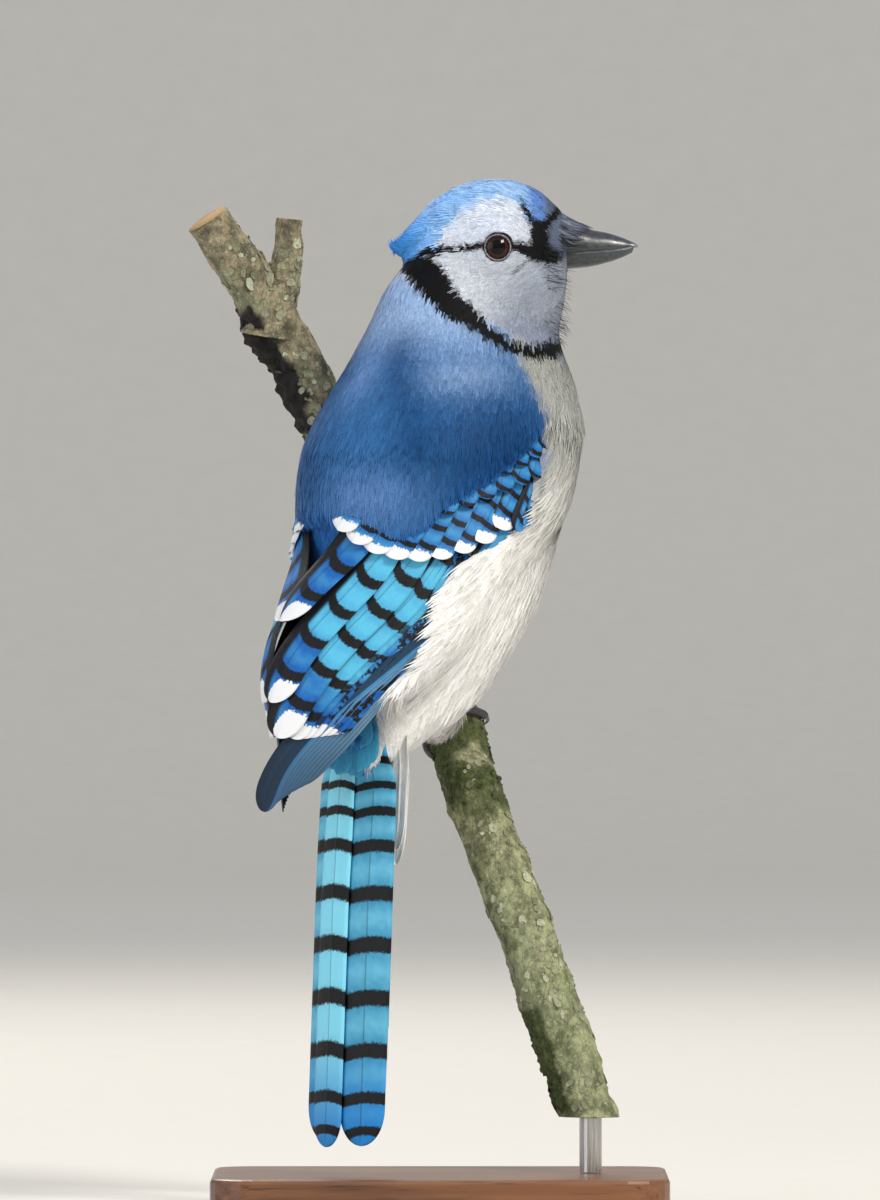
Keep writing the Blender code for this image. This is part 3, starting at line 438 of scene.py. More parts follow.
def roundBody(points):  # degrees round the body from the middle of the back, right side positive
    centre, deep, wide = rowsAt(bodyRings, points[:, 2])
    back = (centre - points @ torsoForward) / deep
    out = -(points @ torsoLeft) / wide
    return np.degrees(np.arctan2(out, back))


wingRings = (  # height, centre, half depth, half width, exponent of the ring
    (0.1094, -0.0550, 0.0080, 0.0060, 1.4), (0.1163, -0.0510, 0.0125, 0.0095, 1.4),
    (0.1306, -0.0440, 0.0200, 0.0165, 1.4), (0.1448, -0.0350, 0.0285, 0.0240, 1.45),
    (0.1591, -0.0240, 0.0365, 0.0300, 1.5), (0.1733, -0.0125, 0.0412, 0.0342, 1.6),
    (0.1876, -0.0062, 0.0400, 0.0355, 1.8), (0.2075, -0.0020, 0.0400, 0.0352, 2.0),
    (0.2218, 0.0015, 0.0385, 0.0332, 2.0), (0.2400, 0.0055, 0.0340, 0.0290, 2.0),
)
wingShape = {
    "tuck": 0.0018, "tipTuck": 0.0050, "flatFrom": 0.1550, "flatTo": 0.1320, "bladeTurn": 42,
    "rootLift": -0.0003, "sag": 0.0085, "thick": 0.00034,
}


def wingShell(side, height):
    centre, deep, wide, power = rowsAt(wingRings, height)
    if side == left:
        centre = centre + wingShape["tuck"] + wingShape["tipTuck"] * (1 - ramp(height, 0.1270, 0.1560))
    return centre, deep, wide, power


def signedPower(value, power):
    return np.sign(value) * np.abs(value) ** power


mantleEdge = (  # degrees from the middle of the back, height where the shoulder feathers end
    (0, 0.1945), (5, 0.1947), (16, 0.1933), (26, 0.1902), (38, 0.1884), (46, 0.1893), (56, 0.1945),
    (64, 0.2010), (72, 0.2036), (77, 0.2068), (83, 0.2096), (89, 0.2140), (96, 0.2196), (108, 0.2250),
)
flankEdge = (  # height, degrees from the middle of the back where the flank laps over the wing
    (0.1300, 14), (0.1397, 16), (0.1474, 32), (0.1576, 53), (0.1733, 59), (0.1839, 68),
    (0.1927, 90), (0.2004, 99), (0.2175, 101), (0.2320, 100),
)
skinLook = {
    "voxel": 0.00095, "bodyDepth": 0.0012, "headDepth": 0.0006, "shoulder": 0.0049, "flankOver": 0.0010,
}


def shoulderRise(turn, height):  # the shoulder feathers stand over the roots of the wing
    edge = rowsAt(mantleEdge, np.abs(turn))[0]
    return (
        skinLook["shoulder"] * ramp(height, edge + 0.0015, edge + 0.0050)
        * mix(0.80, 1, ramp(np.abs(turn), 22, 50)) * (1 - 0.6 * hump(turn, -36, 22))
        * (1 - ramp(height, 0.216, 0.244)) * (1 - ramp(np.abs(turn), 94, 110))
    )


def flankRise(turn, height):  # the flank stands over the wing's lower edge, so its feathers lap over it
    turn, height = np.broadcast_arrays(turn, height)
    centre, deep, wide = rowsAt(bodyRings, height)
    radian = np.radians(np.abs(turn))
    back, out = deep * np.cos(radian) - centre, wide * np.sin(radian)
    away = unit(np.stack((np.cos(radian) / deep, np.sin(radian) / wide), -1))
    middle, shellDeep, shellWide, power = wingShell(right, height)
    low, high = np.full(turn.shape, -0.006), np.full(turn.shape, 0.014)
    for _ in range(24):
        reach = (low + high) / 2
        u = np.abs(back + away[..., 0] * reach + middle) / shellDeep
        v = np.abs(out + away[..., 1] * reach) / shellWide
        inside = u**power + v**power < 1
        low, high = np.where(inside, reach, low), np.where(inside, high, reach)
    stand = np.maximum(low, 0) + skinLook["flankOver"] + 0.0026 * ramp(height, 0.188, 0.205)
    start = rowsAt(flankEdge, height)[0]
    side = np.abs(turn)
    return (
        (stand + skinLook["bodyDepth"]) * ramp(side, start - 3, start + 5)
        * (1 - ramp(side, start + 14, start + 46))
        * ramp(height, 0.143, 0.154) * (1 - ramp(height, 0.222, 0.240))
    )


def makeSkin(skinMaterial):
    pile = Pile()
    turns = np.linspace(0, 2 * math.pi, 120, endpoint=False)
    heights = np.linspace(bodyRings[0][0], bodyRings[-1][0], 110)[:, None]
    centre, deep, wide = rowsAt(bodyRings, heights)
    signed = np.degrees((-turns + math.pi) % (2 * math.pi) - math.pi)
    rise = np.maximum(shoulderRise(signed[None], heights), flankRise(signed[None], heights))
    rise = rise - skinLook["bodyDepth"]
    rings = torsoPlace(centre - (deep + rise) * np.cos(turns), (wide + rise) * np.sin(turns), heights)
    pile.add(*tubeMesh(rings))
    along = np.linspace(headRings[0][0], headRings[-1][0], 60)[:, None]
    crown, throat, wide = rowsAt(headRings, along)
    grow = -skinLook["headDepth"]
    y = headY + (wide * (1 - 0.08 * np.cos(turns)) + grow) * np.sin(turns)
    z = (crown + throat) / 2 + ((crown - throat) / 2 + grow + 0.0010 * (np.cos(turns) > 0)) * np.cos(turns)
    pile.add(*tubeMesh(np.stack((np.broadcast_to(along, y.shape), y, z), -1)))
    rings = [
        np.stack((np.full(120, x), headY + half * np.sin(turns), height + tall * np.cos(turns)), -1)
        for x, height, tall, half in crestRings
    ]
    pile.add(*tubeMesh(np.array(rings)))
    rings = []
    for height, under, deep, wide in tailCone:
        middle = tailRoot + up * (height - tailRoot[2]) + tailForward * under
        rings.append(
            middle + 0.85 * deep * np.cos(turns)[:, None] * tailForward
            + 0.85 * wide * np.sin(turns)[:, None] * tailLeft
        )
    pile.add(*tubeMesh(np.array(rings)))
    for side in (right, left):
        centre = torsoPlace(*thighs[side])
        tilt = np.linspace(0.02, math.pi - 0.02, 24)[:, None]
        ball = np.stack((np.sin(tilt) * np.cos(turns), np.sin(tilt) * np.sin(turns),
                         np.cos(tilt) + 0 * turns), -1)
        pile.add(*tubeMesh(centre + ball * (np.array(thighHalf) - 0.0010)))
    skin = outward(pile.build("skin", skinMaterial))
    remesh = skin.modifiers.new("whole", "REMESH")
    remesh.mode, remesh.voxel_size = "VOXEL", skinLook["voxel"]
    soften = skin.modifiers.new("soften", "SMOOTH")
    soften.factor, soften.iterations = 0.5, 7
    applied(skin)
    points = meshPoints(skin.data)
    crease = np.abs(points[:, 2] - (0.2712 - 0.70 * points[:, 0])) * 0.82
    folds = (1 - ramp(crease, 0.004, 0.011)) * ramp(points[:, 2], 0.236, 0.244) * (points[:, 0] > -0.004)
    group = skin.vertex_groups.new(name="folds")
    for level in range(1, 11):
        chosen = np.flatnonzero(np.round(folds * 10) == level)
        if len(chosen):
            group.add(chosen.tolist(), level / 10, "REPLACE")
    blend = skin.modifiers.new("fill", "SMOOTH")
    blend.factor, blend.iterations, blend.vertex_group = 0.5, 90, "folds"
    applied(skin)
    skin.vertex_groups.clear()
    points = meshPoints(skin.data)
    for side in (right, left):  # hollows for the eyes, under a low brow
        middle = np.array((eyeSpot["x"], headY + side * eyeSpot["out"], eyeSpot["z"]))
        away = points - middle
        flat = np.hypot(away[:, 0], away[:, 2])
        outer = away[:, 1] * side
        near = (outer > 0) & (flat < 0.0105)
        drop = 0.0040 * (1 - ramp(flat, 0.0031, 0.0041)) - 0.0011 * (1 - ramp(flat, 0.0042, 0.0095))
        brow = 0.0004 * hump(away[:, 2], 0.0058, 0.0018) * hump(away[:, 0], 0.001, 0.006)
        points[:, 1] += np.where(near, side * (brow - drop), 0)
    skin.data.vertices.foreach_set("co", points.astype(np.float32).ravel())
    skin.data.update()
    skin.data.shade_smooth()
    skin.data.materials.clear()
    skin.data.materials.append(skinMaterial)
    return skin


def meshPoints(mesh):
    flat = np.empty(len(mesh.vertices) * 3, np.float32)
    mesh.vertices.foreach_get("co", flat)
    return flat.reshape(-1, 3).astype(float)


def unwrap(points):  # the skin's own shape laid flat: the body below, the head above
    turn = (roundBody(points) / 360 + 1.0) % 1.0
    body = np.stack((0.02 + 0.96 * turn, 0.01 + 0.58 * (points[:, 2] - 0.100) / 0.172), -1)
    middleZ = 0.268
    around = np.arctan2(points[:, 1] - headY, points[:, 2] - middleZ) / (2 * math.pi)
    head = np.stack((0.02 + 0.96 * ((around + 0.5) % 1.0), 0.63 + 0.36 * (points[:, 0] + 0.014) / 0.052), -1)
    return np.where(headShare(points)[:, None] > 0.5, head, body)


def headShare(points):  # 1 on the head, 0 on the body, along the line of the collar
    line = 0.2697 - 0.541 * (points[:, 0] + 0.0125)
    return ramp(points[:, 2], line - 0.0015, line + 0.0010)


# Markings: lines are (along X, height, half width) in metres on both sides of the head
collarLine = (
    (-0.0105, 0.2712, 0.0026), (-0.0063, 0.2710, 0.0040), (-0.0044, 0.2688, 0.0044),
    (0.0002, 0.2642, 0.0041), (0.0043, 0.2585, 0.0033), (0.0094, 0.2546, 0.0027),
    (0.0144, 0.2504, 0.0019), (0.0196, 0.2474, 0.0015), (0.0262, 0.2458, 0.0016),
    (0.0338, 0.2463, 0.0020),
)
eyeLine = ((-0.0010, 0.2728, 0.0016), (0.0040, 0.2733, 0.0010), (0.0085, 0.2734, 0.0008),
           (0.0130, 0.2741, 0.0007))
loreLine = ((0.0196, 0.2744, 0.0009), (0.0240, 0.2734, 0.0014), (0.0285, 0.2722, 0.0023),
            (0.0330, 0.2712, 0.0020))
lorePatch = ((0.0276, 0.2805, 0.0013), (0.0290, 0.2782, 0.0024), (0.0296, 0.2748, 0.0027),
             (0.0305, 0.2722, 0.0024))
foreheadLine = ((0.0280, 0.2800, 0.0012), (0.0262, 0.2825, 0.0011), (0.0248, 0.2855, 0.0008),
                (0.0246, 0.2868, 0.0005))
frontalLine = ((0.0352, 0.2850, 0.0006), (0.0336, 0.2826, 0.0010), (0.0318, 0.2808, 0.0013),
               (0.0302, 0.2792, 0.0014))
gapeFold = ((0.0300, 0.2706, 0.0005), (0.0267, 0.2702, 0.0004), (0.0245, 0.2691, 0.0004),
            (0.0221, 0.2662, 0.0003))
crownEdge = (  # along X, height above which the crown is blue
    (-0.0130, 0.2690), (-0.0080, 0.2705), (-0.0040, 0.2722), (0.0000, 0.2740), (0.0020, 0.2752),
    (0.0031, 0.2790), (0.0074, 0.2825), (0.0134, 0.2856), (0.0185, 0.2872), (0.0225, 0.2868),
    (0.0251, 0.2842), (0.0265, 0.2812), (0.0300, 0.2800), (0.0340, 0.2830),
)
whiteFrom = (  # height, degrees from the back beyond which the coat is white
    (0.1288, 26), (0.1397, 22), (0.1474, 28), (0.1576, 48), (0.1733, 54), (0.1839, 63), (0.1927, 84),
    (0.2004, 96), (0.2150, 101), (0.2300, 98), (0.2450, 90), (0.2697, 84),
)
coatColours = {
    "crown": "#8dbcee", "crest": "#4195e4", "brow": "#d3dcec", "cheek": "#ccd3de",
    "throat": "#7f8899", "lowThroat": "#868fa8", "ink": "#0a0b0e", "forehead": "#6189cc",
    "nape": "#93b0d8", "mantle": "#32659c", "mantlePale": "#6b90c8", "mantleDeep": "#07396a",
    "fringe": "#2468b8", "breast": "#a3a5a1", "belly": "#f7f7f5", "flank": "#e6e6e3",
    "rump": "#3474b8", "narial": "#5b667c",
}


def nearLine(x, z, line, soft=0.0005, ragged=0.0):  # 1 inside a painted line, 0 outside
    best = np.full(x.shape, -1.0)
    for (x0, z0, w0), (x1, z1, w1) in zip(line, line[1:]):
        dx, dz = x1 - x0, z1 - z0
        t = np.clip(((x - x0) * dx + (z - z0) * dz) / (dx * dx + dz * dz), 0, 1)
        off = np.hypot(x - x0 - t * dx, z - z0 - t * dz)
        best = np.maximum(best, mix(w0, w1, t) - off)
    return ramp(best + ragged, -soft, soft)


def speckle(points, scale, seed=0.0):  # smooth noise from -1 to 1 at each point
    shift = Vector((seed, seed * 1.7, seed * 2.3))
    return np.array([noise.noise(Vector(p) * scale + shift) for p in points])


def plumage(points, rng=None):  # the coat's colour at each point, the same for skin and feathers
    x, z = points[:, 0], points[:, 2]
    turn = roundBody(points)
    side = np.abs(turn)
    tone = {name: colour(code) for name, code in coatColours.items()}
    wave = speckle(points, 260)
    fine = speckle(points, 900, 5.0)
    jitter = 0.0004 * wave + (rng.normal(0, 0.00035, len(points)) if rng is not None else 0)

    def over(base, mask, name):
        return mix(base, tone[name], np.clip(mask, 0, 1)[:, None])

    body = np.broadcast_to(tone["mantle"], points.shape)
    body = over(body, ramp(z, 0.238, 0.258), "nape")
    body = over(body, 0.65 * hump(turn, 62, 24) * hump(z, 0.2385, 0.0055), "nape")
    body = over(body, 0.55 * hump(turn, 30, 22) * hump(z, 0.2065, 0.0075), "mantlePale")
    body = over(body, 0.35 * hump(turn, -25, 20) * hump(z, 0.216, 0.012), "mantlePale")
    body = over(body, 0.70 * hump(turn, 4, 12) * hump(z, 0.2395, 0.008), "mantlePale")
    strip = turn - mix(46, 22, ramp(z, 0.219, 0.247))
    dark = hump(strip, 0, 11) * ramp(z, 0.209, 0.221) * (1 - ramp(z, 0.245, 0.256))
    body = over(body, 0.60 * dark, "mantleDeep")
    body = over(body, 1.0 * hump(side, 80, 30) * hump(z, 0.220, 0.016), "mantleDeep")
    body = over(body, 0.75 * hump(turn, 72, 20) * hump(z, 0.2120, 0.012), "mantleDeep")
    body = over(body, 0.45 * hump(turn, -6, 12) * hump(z, 0.213, 0.012), "mantleDeep")
    edge = rowsAt(mantleEdge, side)[0]
    body = over(body, 0.75 * (1 - ramp(z, edge + 0.0045, edge + 0.0095)), "fringe")
    body = over(body, 1 - ramp(z, 0.180, 0.190), "rump")
    white = rowsAt(whiteFrom, z)[0] + 4 * wave
    pale = np.broadcast_to(tone["flank"], points.shape)
    # Greyer over the breast: partly its own grey, partly painted shade. Greyer on the sides and less white at
    # the sides of the belly: painted shade.
    pale = over(pale, ramp(z, 0.192, 0.222), "breast")
    pale = over(pale, 0.55 * ramp(side, 104, 138) * ramp(z, 0.150, 0.205), "breast")
    pale = over(pale, (1 - ramp(z, 0.158, 0.212)) * (1 - 0.15 * hump(side, 120, 20)), "belly")
    made = mix(body, pale, ramp(side, white - 5, white + 5)[:, None])

    face = np.broadcast_to(tone["cheek"], points.shape)
    # Darker grey towards the throat and under the bill: partly the throat's own grey, partly painted shade
    # from the bill.
    shaded = 0.75 * (x - 0.004) + 0.55 * (0.270 - z)
    face = over(face, 0.80 * ramp(shaded, 0.006, 0.024), "throat")
    face = over(face, 0.75 * hump(z, 0.2492, 0.0040) * ramp(x, 0.008, 0.022), "lowThroat")
    face = over(face, ramp(z, 0.2745, 0.277) * (1 - 0.4 * ramp(x, 0.016, 0.025)), "brow")
    crownLow = rowsAt(crownEdge, x)[0] + 1.6 * jitter
    soft = mix(0.0007, 0.0024, hump(x, 0.012, 0.009))
    crown = ramp(z, crownLow - soft, crownLow + soft)
    blue = over(np.broadcast_to(tone["crown"], points.shape), 1 - ramp(x, -0.009, 0.003), "crest")
    blue = over(blue, 0.24 * hump(x, 0.017, 0.009) * ramp(wave, -0.5, 0.5), "brow")
    blue = over(blue, 0.45 * hump(x, 0.006, 0.006) * ramp(fine, -0.2, 0.6), "crest")
    blue = over(blue, ramp(x, 0.0256, 0.0280), "forehead")
    blue = over(blue, 0.55 * ramp(fine, 0.15, 0.55) * ramp(x, 0.0215, 0.0262), "ink")
    face = mix(face, blue, crown[:, None])
    ink = np.zeros(len(points))
    for line, soft in ((collarLine, 0.0007), (eyeLine, 0.0005), (loreLine, 0.0006), (lorePatch, 0.0006),
                       (foreheadLine, 0.0005), (frontalLine, 0.0005)):
        ink = np.maximum(ink, nearLine(x, z, line, soft, jitter))
    ink = np.maximum(ink, 0.55 * nearLine(x, z, gapeFold, 0.0004, 0.5 * jitter))
    underCrest = crown * (x < 0.003) * (z > 0.2705)
    ink = ink * (1 - underCrest * ramp(z, crownLow - 0.0002, crownLow + 0.0006))
    face = over(face, ramp(x + 0.6 * jitter, 0.0300, 0.0316) * ramp(z, 0.2694, 0.2716), "narial")
    face = face * (1 - 0.08 * ramp(fine, 0.1, 0.6) * (1 - crown))[:, None]
    head = headShare(points + np.array((0, 0, 0.0012)))
    made = mix(made, face, head[:, None])
    collarInk = nearLine(x, z, collarLine, 0.0007, jitter) * (1 - underCrest)
    made = over(made, np.maximum(ink * head, collarInk * (z < 0.275)), "ink")
    return np.clip(made * (1 + 0.05 * wave)[:, None], 0, 1)


# The coat: tufts set on the skin by a node tree
def tuftShape(name, blades, spread, seed, bow=1.6, fall=0.75):
    rng = np.random.default_rng(seed)
    pile = Pile()
    steps = np.array((0.0, 0.38, 0.74, 1.0))
    for number in range(blades):
        share = 0 if blades == 1 else 2 * number / (blades - 1) - 1
        reach = 1 - 0.12 * abs(share) + rng.uniform(-0.06, 0.06)
        lean = share * spread + rng.uniform(-0.08, 0.08)
        half = np.array((0.20, 0.26, 0.19, 0.0)) * rng.uniform(0.85, 1.1)
        y = steps * reach
        x = share * 0.22 + lean * steps**1.4
        z = bow * steps * (1 - steps) - fall * steps**2 + rng.uniform(-0.12, 0.12) * steps - 0.10 * abs(share)
        points = [(x[k] + hand * half[k], y[k], z[k] - 0.04) for k in range(3) for hand in (-1, 1)]
        points.append((x[3], y[3], z[3]))
        local = [(0.5 + 0.5 * p[0], p[1], 0.0) for p in points]
        pile.add(points, [(0, 1, 3, 2), (2, 3, 5, 4), (4, 5, 6)], tuft=np.clip(local, 0, 1))
    made = pile.build(name)
    bpy.context.scene.collection.objects.unlink(made)
    return made


def scatterTree(name, patched):
    tree = bpy.data.node_groups.new(name, "GeometryNodeTree")
    face = tree.interface
    face.new_socket("Geometry", in_out="INPUT", socket_type="NodeSocketGeometry")
    face.new_socket("Tufts", in_out="INPUT", socket_type="NodeSocketCollection")
    face.new_socket("Kinds", in_out="INPUT", socket_type="NodeSocketInt").default_value = 4
    face.new_socket("Seed", in_out="INPUT", socket_type="NodeSocketInt").default_value = 7
    face.new_socket("Patch", in_out="INPUT", socket_type="NodeSocketFloat").default_value = 0.003
    face.new_socket("Material", in_out="INPUT", socket_type="NodeSocketMaterial")
    face.new_socket("Geometry", in_out="OUTPUT", socket_type="NodeSocketGeometry")
    given = tree.nodes.new("NodeGroupInput")
    result = tree.nodes.new("NodeGroupOutput")

    def attribute(name):
        node = tree.nodes.new("GeometryNodeInputNamedAttribute")
        node.data_type = "FLOAT_VECTOR"
        node.inputs["Name"].default_value = name
        return node.outputs["Attribute"]

    tufts = lay(tree, "GeometryNodeCollectionInfo", {
        "Collection": given.outputs["Tufts"], "Separate Children": True, "Reset Children": True})
    turned = lay(tree, "FunctionNodeAxesToRotation", {
        "Primary Axis": attribute("lie"), "Secondary Axis": attribute("out")},
        primary_axis="Y", secondary_axis="Z")
    most = lay(tree, "ShaderNodeMath", {0: given.outputs["Kinds"], 1: 1.0}, operation="SUBTRACT")
    pick = lay(tree, "FunctionNodeRandomValue", {
        "Max": 3, "Seed": given.outputs["Seed"]}, 2, data_type="INT")
    pickNode = pick.node
    tree.links.new(most, pickNode.inputs[5])
    planted = lay(tree, "GeometryNodeInstanceOnPoints", {
        "Points": given.outputs["Geometry"], "Instance": tufts, "Pick Instance": True,
        "Instance Index": pick, "Rotation": turned, "Scale": attribute("size")})
    real = lay(tree, "GeometryNodeRealizeInstances", {"Geometry": planted})
    painted = lay(tree, "GeometryNodeSetMaterial", {"Geometry": real, "Material": given.outputs["Material"]})
    if not patched:
        tree.links.new(painted, result.inputs[0])
        return tree
    local = lay(tree, "ShaderNodeVectorMath", {
        0: attribute("tuft"), 1: (0.5, 0.5, 0.0)}, operation="SUBTRACT")
    patch = tree.nodes.new("ShaderNodeVectorMath")
    patch.operation = "SCALE"
    tree.links.new(local, patch.inputs[0])
    tree.links.new(given.outputs["Patch"], patch.inputs["Scale"])
    spot = lay(tree, "ShaderNodeVectorMath", {
        0: attribute("rootPlace"), 1: patch.outputs[0]}, operation="ADD")
    mapped = lay(tree, "GeometryNodeStoreNamedAttribute", {
        "Geometry": painted, "Name": "OFBake", "Value": spot}, data_type="FLOAT2", domain="CORNER")
    tree.links.new(mapped, result.inputs[0])
    return tree


def growFrom(name, tree, kinds, roots, lie, out, size, tint, places, coatMaterial, seed=7):
    mesh = bpy.data.meshes.new(name)
    mesh.vertices.add(len(roots))
    mesh.vertices.foreach_set("co", roots.astype(np.float32).ravel())
    addValue(mesh, "lie", lie)
    addValue(mesh, "out", out)
    addValue(mesh, "size", size)
    addValue(mesh, "rootPlace", np.column_stack((places, np.zeros(len(places)))))
    addValue(mesh, "tint", np.column_stack((tint, np.ones(len(tint)))))
    obj = bpy.data.objects.new(name, mesh)
    bpy.context.scene.collection.objects.link(obj)
    modifier = obj.modifiers.new("coat", "NODES")
    modifier.node_group = tree
    values = {"Tufts": kinds, "Kinds": len(kinds.objects), "Seed": seed, "Material": coatMaterial}
    for item in tree.interface.items_tree:
        if item.in_out == "INPUT" and item.name in values:
            modifier[item.identifier] = values[item.name]
    applied(obj)
    for extra in ("lie", "out", "size", "rootPlace"):
        if extra in obj.data.attributes:
            obj.data.attributes.remove(obj.data.attributes[extra])
    return obj


def scatter(mesh, density, seed):  # roots spread evenly over a mesh, with their normals
    rng = np.random.default_rng(seed)
    points = meshPoints(mesh)
    mesh.calc_loop_triangles()
    corners = np.empty(len(mesh.loop_triangles) * 3, np.int32)
    mesh.loop_triangles.foreach_get("vertices", corners)
    a, b, c = (points[corners[k::3]] for k in range(3))
    normals = np.empty(len(mesh.vertices) * 3, np.float32)
    mesh.vertices.foreach_get("normal", normals)
    normals = normals.reshape(-1, 3).astype(float)
    area = np.linalg.norm(np.cross(b - a, c - a), axis=1) / 2
    share = np.cumsum(area * density((a + b + c) / 3)) + rng.uniform()
    counts = np.diff(np.floor(np.concatenate(((share[0] - area[0],), share)))).astype(int).clip(0)
    which = np.repeat(np.arange(len(area)), counts)
    u, v = rng.uniform(size=(2, len(which)))
    fold = u + v > 1
    u, v = np.where(fold, 1 - u, u)[:, None], np.where(fold, 1 - v, v)[:, None]
    roots = a[which] * (1 - u - v) + b[which] * u + c[which] * v
    na, nb, nc = (normals[corners[k::3]][which] for k in range(3))
    return roots, unit(na * (1 - u - v) + nb * u + nc * v), rng


coatLook = {
    "cover": 5.6,  # how many tufts lie over each point
    "pieceTriangles": 190000,
    "lengths": {
        "face": 0.0024, "cheek": 0.0046, "crown": 0.0066, "crest": 0.0094, "nape": 0.0056,
        "mantle": 0.0070, "breast": 0.0080, "belly": 0.0112, "flank": 0.0128, "rump": 0.0090,
    },
}


def coatSizes(points):  # length and width of the tufts at each point
    sizes = coatLook["lengths"]
    x, z = points[:, 0], points[:, 2]
    side = np.abs(roundBody(points))
    white = ramp(side, rowsAt(whiteFrom, z)[0] - 5, rowsAt(whiteFrom, z)[0] + 5)
    body = mix(sizes["mantle"], sizes["nape"], ramp(z, 0.238, 0.256))
    under = mix(sizes["belly"], sizes["breast"], ramp(z, 0.178, 0.205))
    under = mix(under, sizes["nape"], ramp(z, 0.236, 0.252))
    length = mix(body, under, white)
    length = mix(length, sizes["flank"], flankShare(points))
    length = mix(sizes["rump"], length, ramp(z, 0.138, 0.150))
    head = headShare(points)
    fromBill = np.linalg.norm(points - np.array((0.036, headY, 0.2735)), axis=1)
    eye = np.hypot(x - eyeSpot["x"], z - eyeSpot["z"])
    face = mix(sizes["face"], sizes["cheek"], ramp(fromBill, 0.006, 0.024))
    face = mix(face, sizes["crown"], ramp(z, 0.279, 0.285) * (1 - ramp(x, 0.012, 0.024)))
    face = mix(face, sizes["crest"], (1 - ramp(x, -0.006, 0.008)) * ramp(z, 0.270, 0.276))
    face = np.minimum(face, mix(0.0011, 0.0060, ramp(eye, 0.0038, 0.0100)))
    length = mix(length, face, head)
    length = length * (1 - 0.35 * white * (1 - ramp(z, 0.132, 0.152)) * (1 - head))
    width = length * mix(mix(0.098, 0.066, white), 0.082, head)
    return length, width


def flankShare(points):  # 1 along the edge where the flank laps over the wing
    z = points[:, 2]
    past = np.abs(roundBody(points)) - rowsAt(flankEdge, z)[0]
    return hump(past, 8, 16) * ramp(z, 0.140, 0.150) * (1 - ramp(z, 0.196, 0.225))


def lieOfCoat(points, normals):  # which way the feathers point at each root
    tailward = unit(np.array((-0.0260, -0.0175, 0.098)) - points)
    fan = unit(points - np.array((0.004, 0.006, 0.275)))
    side = np.abs(roundBody(points))
    body = tailward + 0.55 * fan * (1 - ramp(side, 95, 125))[:, None]
    backward = -torsoForward * ramp(side, 20, 60)[:, None] - 0.5 * torsoForward
    body = body + (0.85 * flankShare(points))[:, None] * backward
    head = unit(points - np.array((0.0400, headY, 0.2745)))
    head[:, 2] -= 0.25 * (1 - ramp(points[:, 2], 0.262, 0.272))
    way = mix(unit(body), unit(head), headShare(points)[:, None])
    way -= normals * (way * normals).sum(1)[:, None]
    return unit(way)


def nearEye(points):
    return np.hypot(points[:, 0] - eyeSpot["x"], points[:, 2] - eyeSpot["z"])


def coatDensity(points):
    length, width = coatSizes(points)
    dense = coatLook["cover"] / (length * width * 0.62)
    x, z = points[:, 0], points[:, 2]
    side = np.abs(roundBody(points))
    dense = np.where((nearEye(points) < 0.0040) & (z > 0.268), 0, dense)
    dense = np.where((x > 0.0350) & (z > 0.2685), 0, dense)
    dense = np.where((x < -0.0114) & (z > 0.268), 0, dense)
    edge = rowsAt(mantleEdge, side)[0]
    hidden = (z < edge + 0.0036) & (side < rowsAt(flankEdge, z)[0] + 0.5) & (z > 0.146)
    dense = np.where(hidden, np.where(side < 14, 0.7, 0.0) * dense, dense)
    return dense


def makeCoat(skin, tree, coatMaterial):
    fine = bpy.data.collections.new("fineTufts")
    full = bpy.data.collections.new("fullTufts")
    for seed in range(4):
        fine.objects.link(tuftShape(f"fineTuft{seed}", 2, 0.30, 20 + seed))
        full.objects.link(tuftShape(f"fullTuft{seed}", 3, 0.34, 40 + seed))
    roots, normals, rng = scatter(skin.data, coatDensity, 11)
    length, width = coatSizes(roots)
    lie = lieOfCoat(roots, normals)
    count = len(roots)
    loose = ramp(np.abs(roundBody(roots)), 80, 110) * (1 - ramp(roots[:, 2], 0.19, 0.215))
    spin = rng.normal(0, mix(7, 9, loose))
    beside = np.cross(normals, lie)
    spin = np.radians(spin)[:, None]
    lie = lie * np.cos(spin) + beside * np.sin(spin)
    tilt = np.radians(rng.normal(1.8, 1.3, count) + 1.5 * loose)[:, None]
    lie = lie * np.cos(tilt) + normals * np.sin(tilt)
    size = np.stack((width * rng.uniform(0.8, 1.25, count), length * rng.uniform(0.8, 1.15, count),
                     0.10 * length * rng.uniform(0.7, 1.3, count) + 0.0001), -1)
    size[:, 0] *= 1.5
    tint = plumage(roots, rng)
    streaky = ramp(roots[:, 2], 0.276, 0.282) * headShare(roots)
    light = 1 + mix(0.085, 0.14, streaky) * rng.normal(size=count) + 0.16 * (rng.uniform(size=count) < 0.06)
    tint = np.clip(tint * light[:, None], 0, 1)
    places = unwrap(roots)
    head = headShare(roots) > 0.5
    back = (np.abs(roundBody(roots)) < 100) & ~head
    made = []
    for name, chosen, kinds, faces, slot in (
        ("coatHead", head, fine, 10, "plumage_white"),
        ("coatMantle", back, full, 15, "plumage_blue"),
        ("coatBreast", ~head & ~back, full, 15, "plumage_white"),
    ):
        order = np.flatnonzero(chosen)
        order = order[np.argsort(-roots[order, 2], kind="stable")]
        pieces = max(1, math.ceil(len(order) * faces / coatLook["pieceTriangles"]))
        for number, some in enumerate(np.array_split(order, pieces)):
            obj = growFrom(f"{name}{number + 1}", tree, kinds, roots[some], lie[some], normals[some],
                           size[some], tint[some], places[some], coatMaterial, 3 + number)
            made.append(finished(obj, slot))
    return made


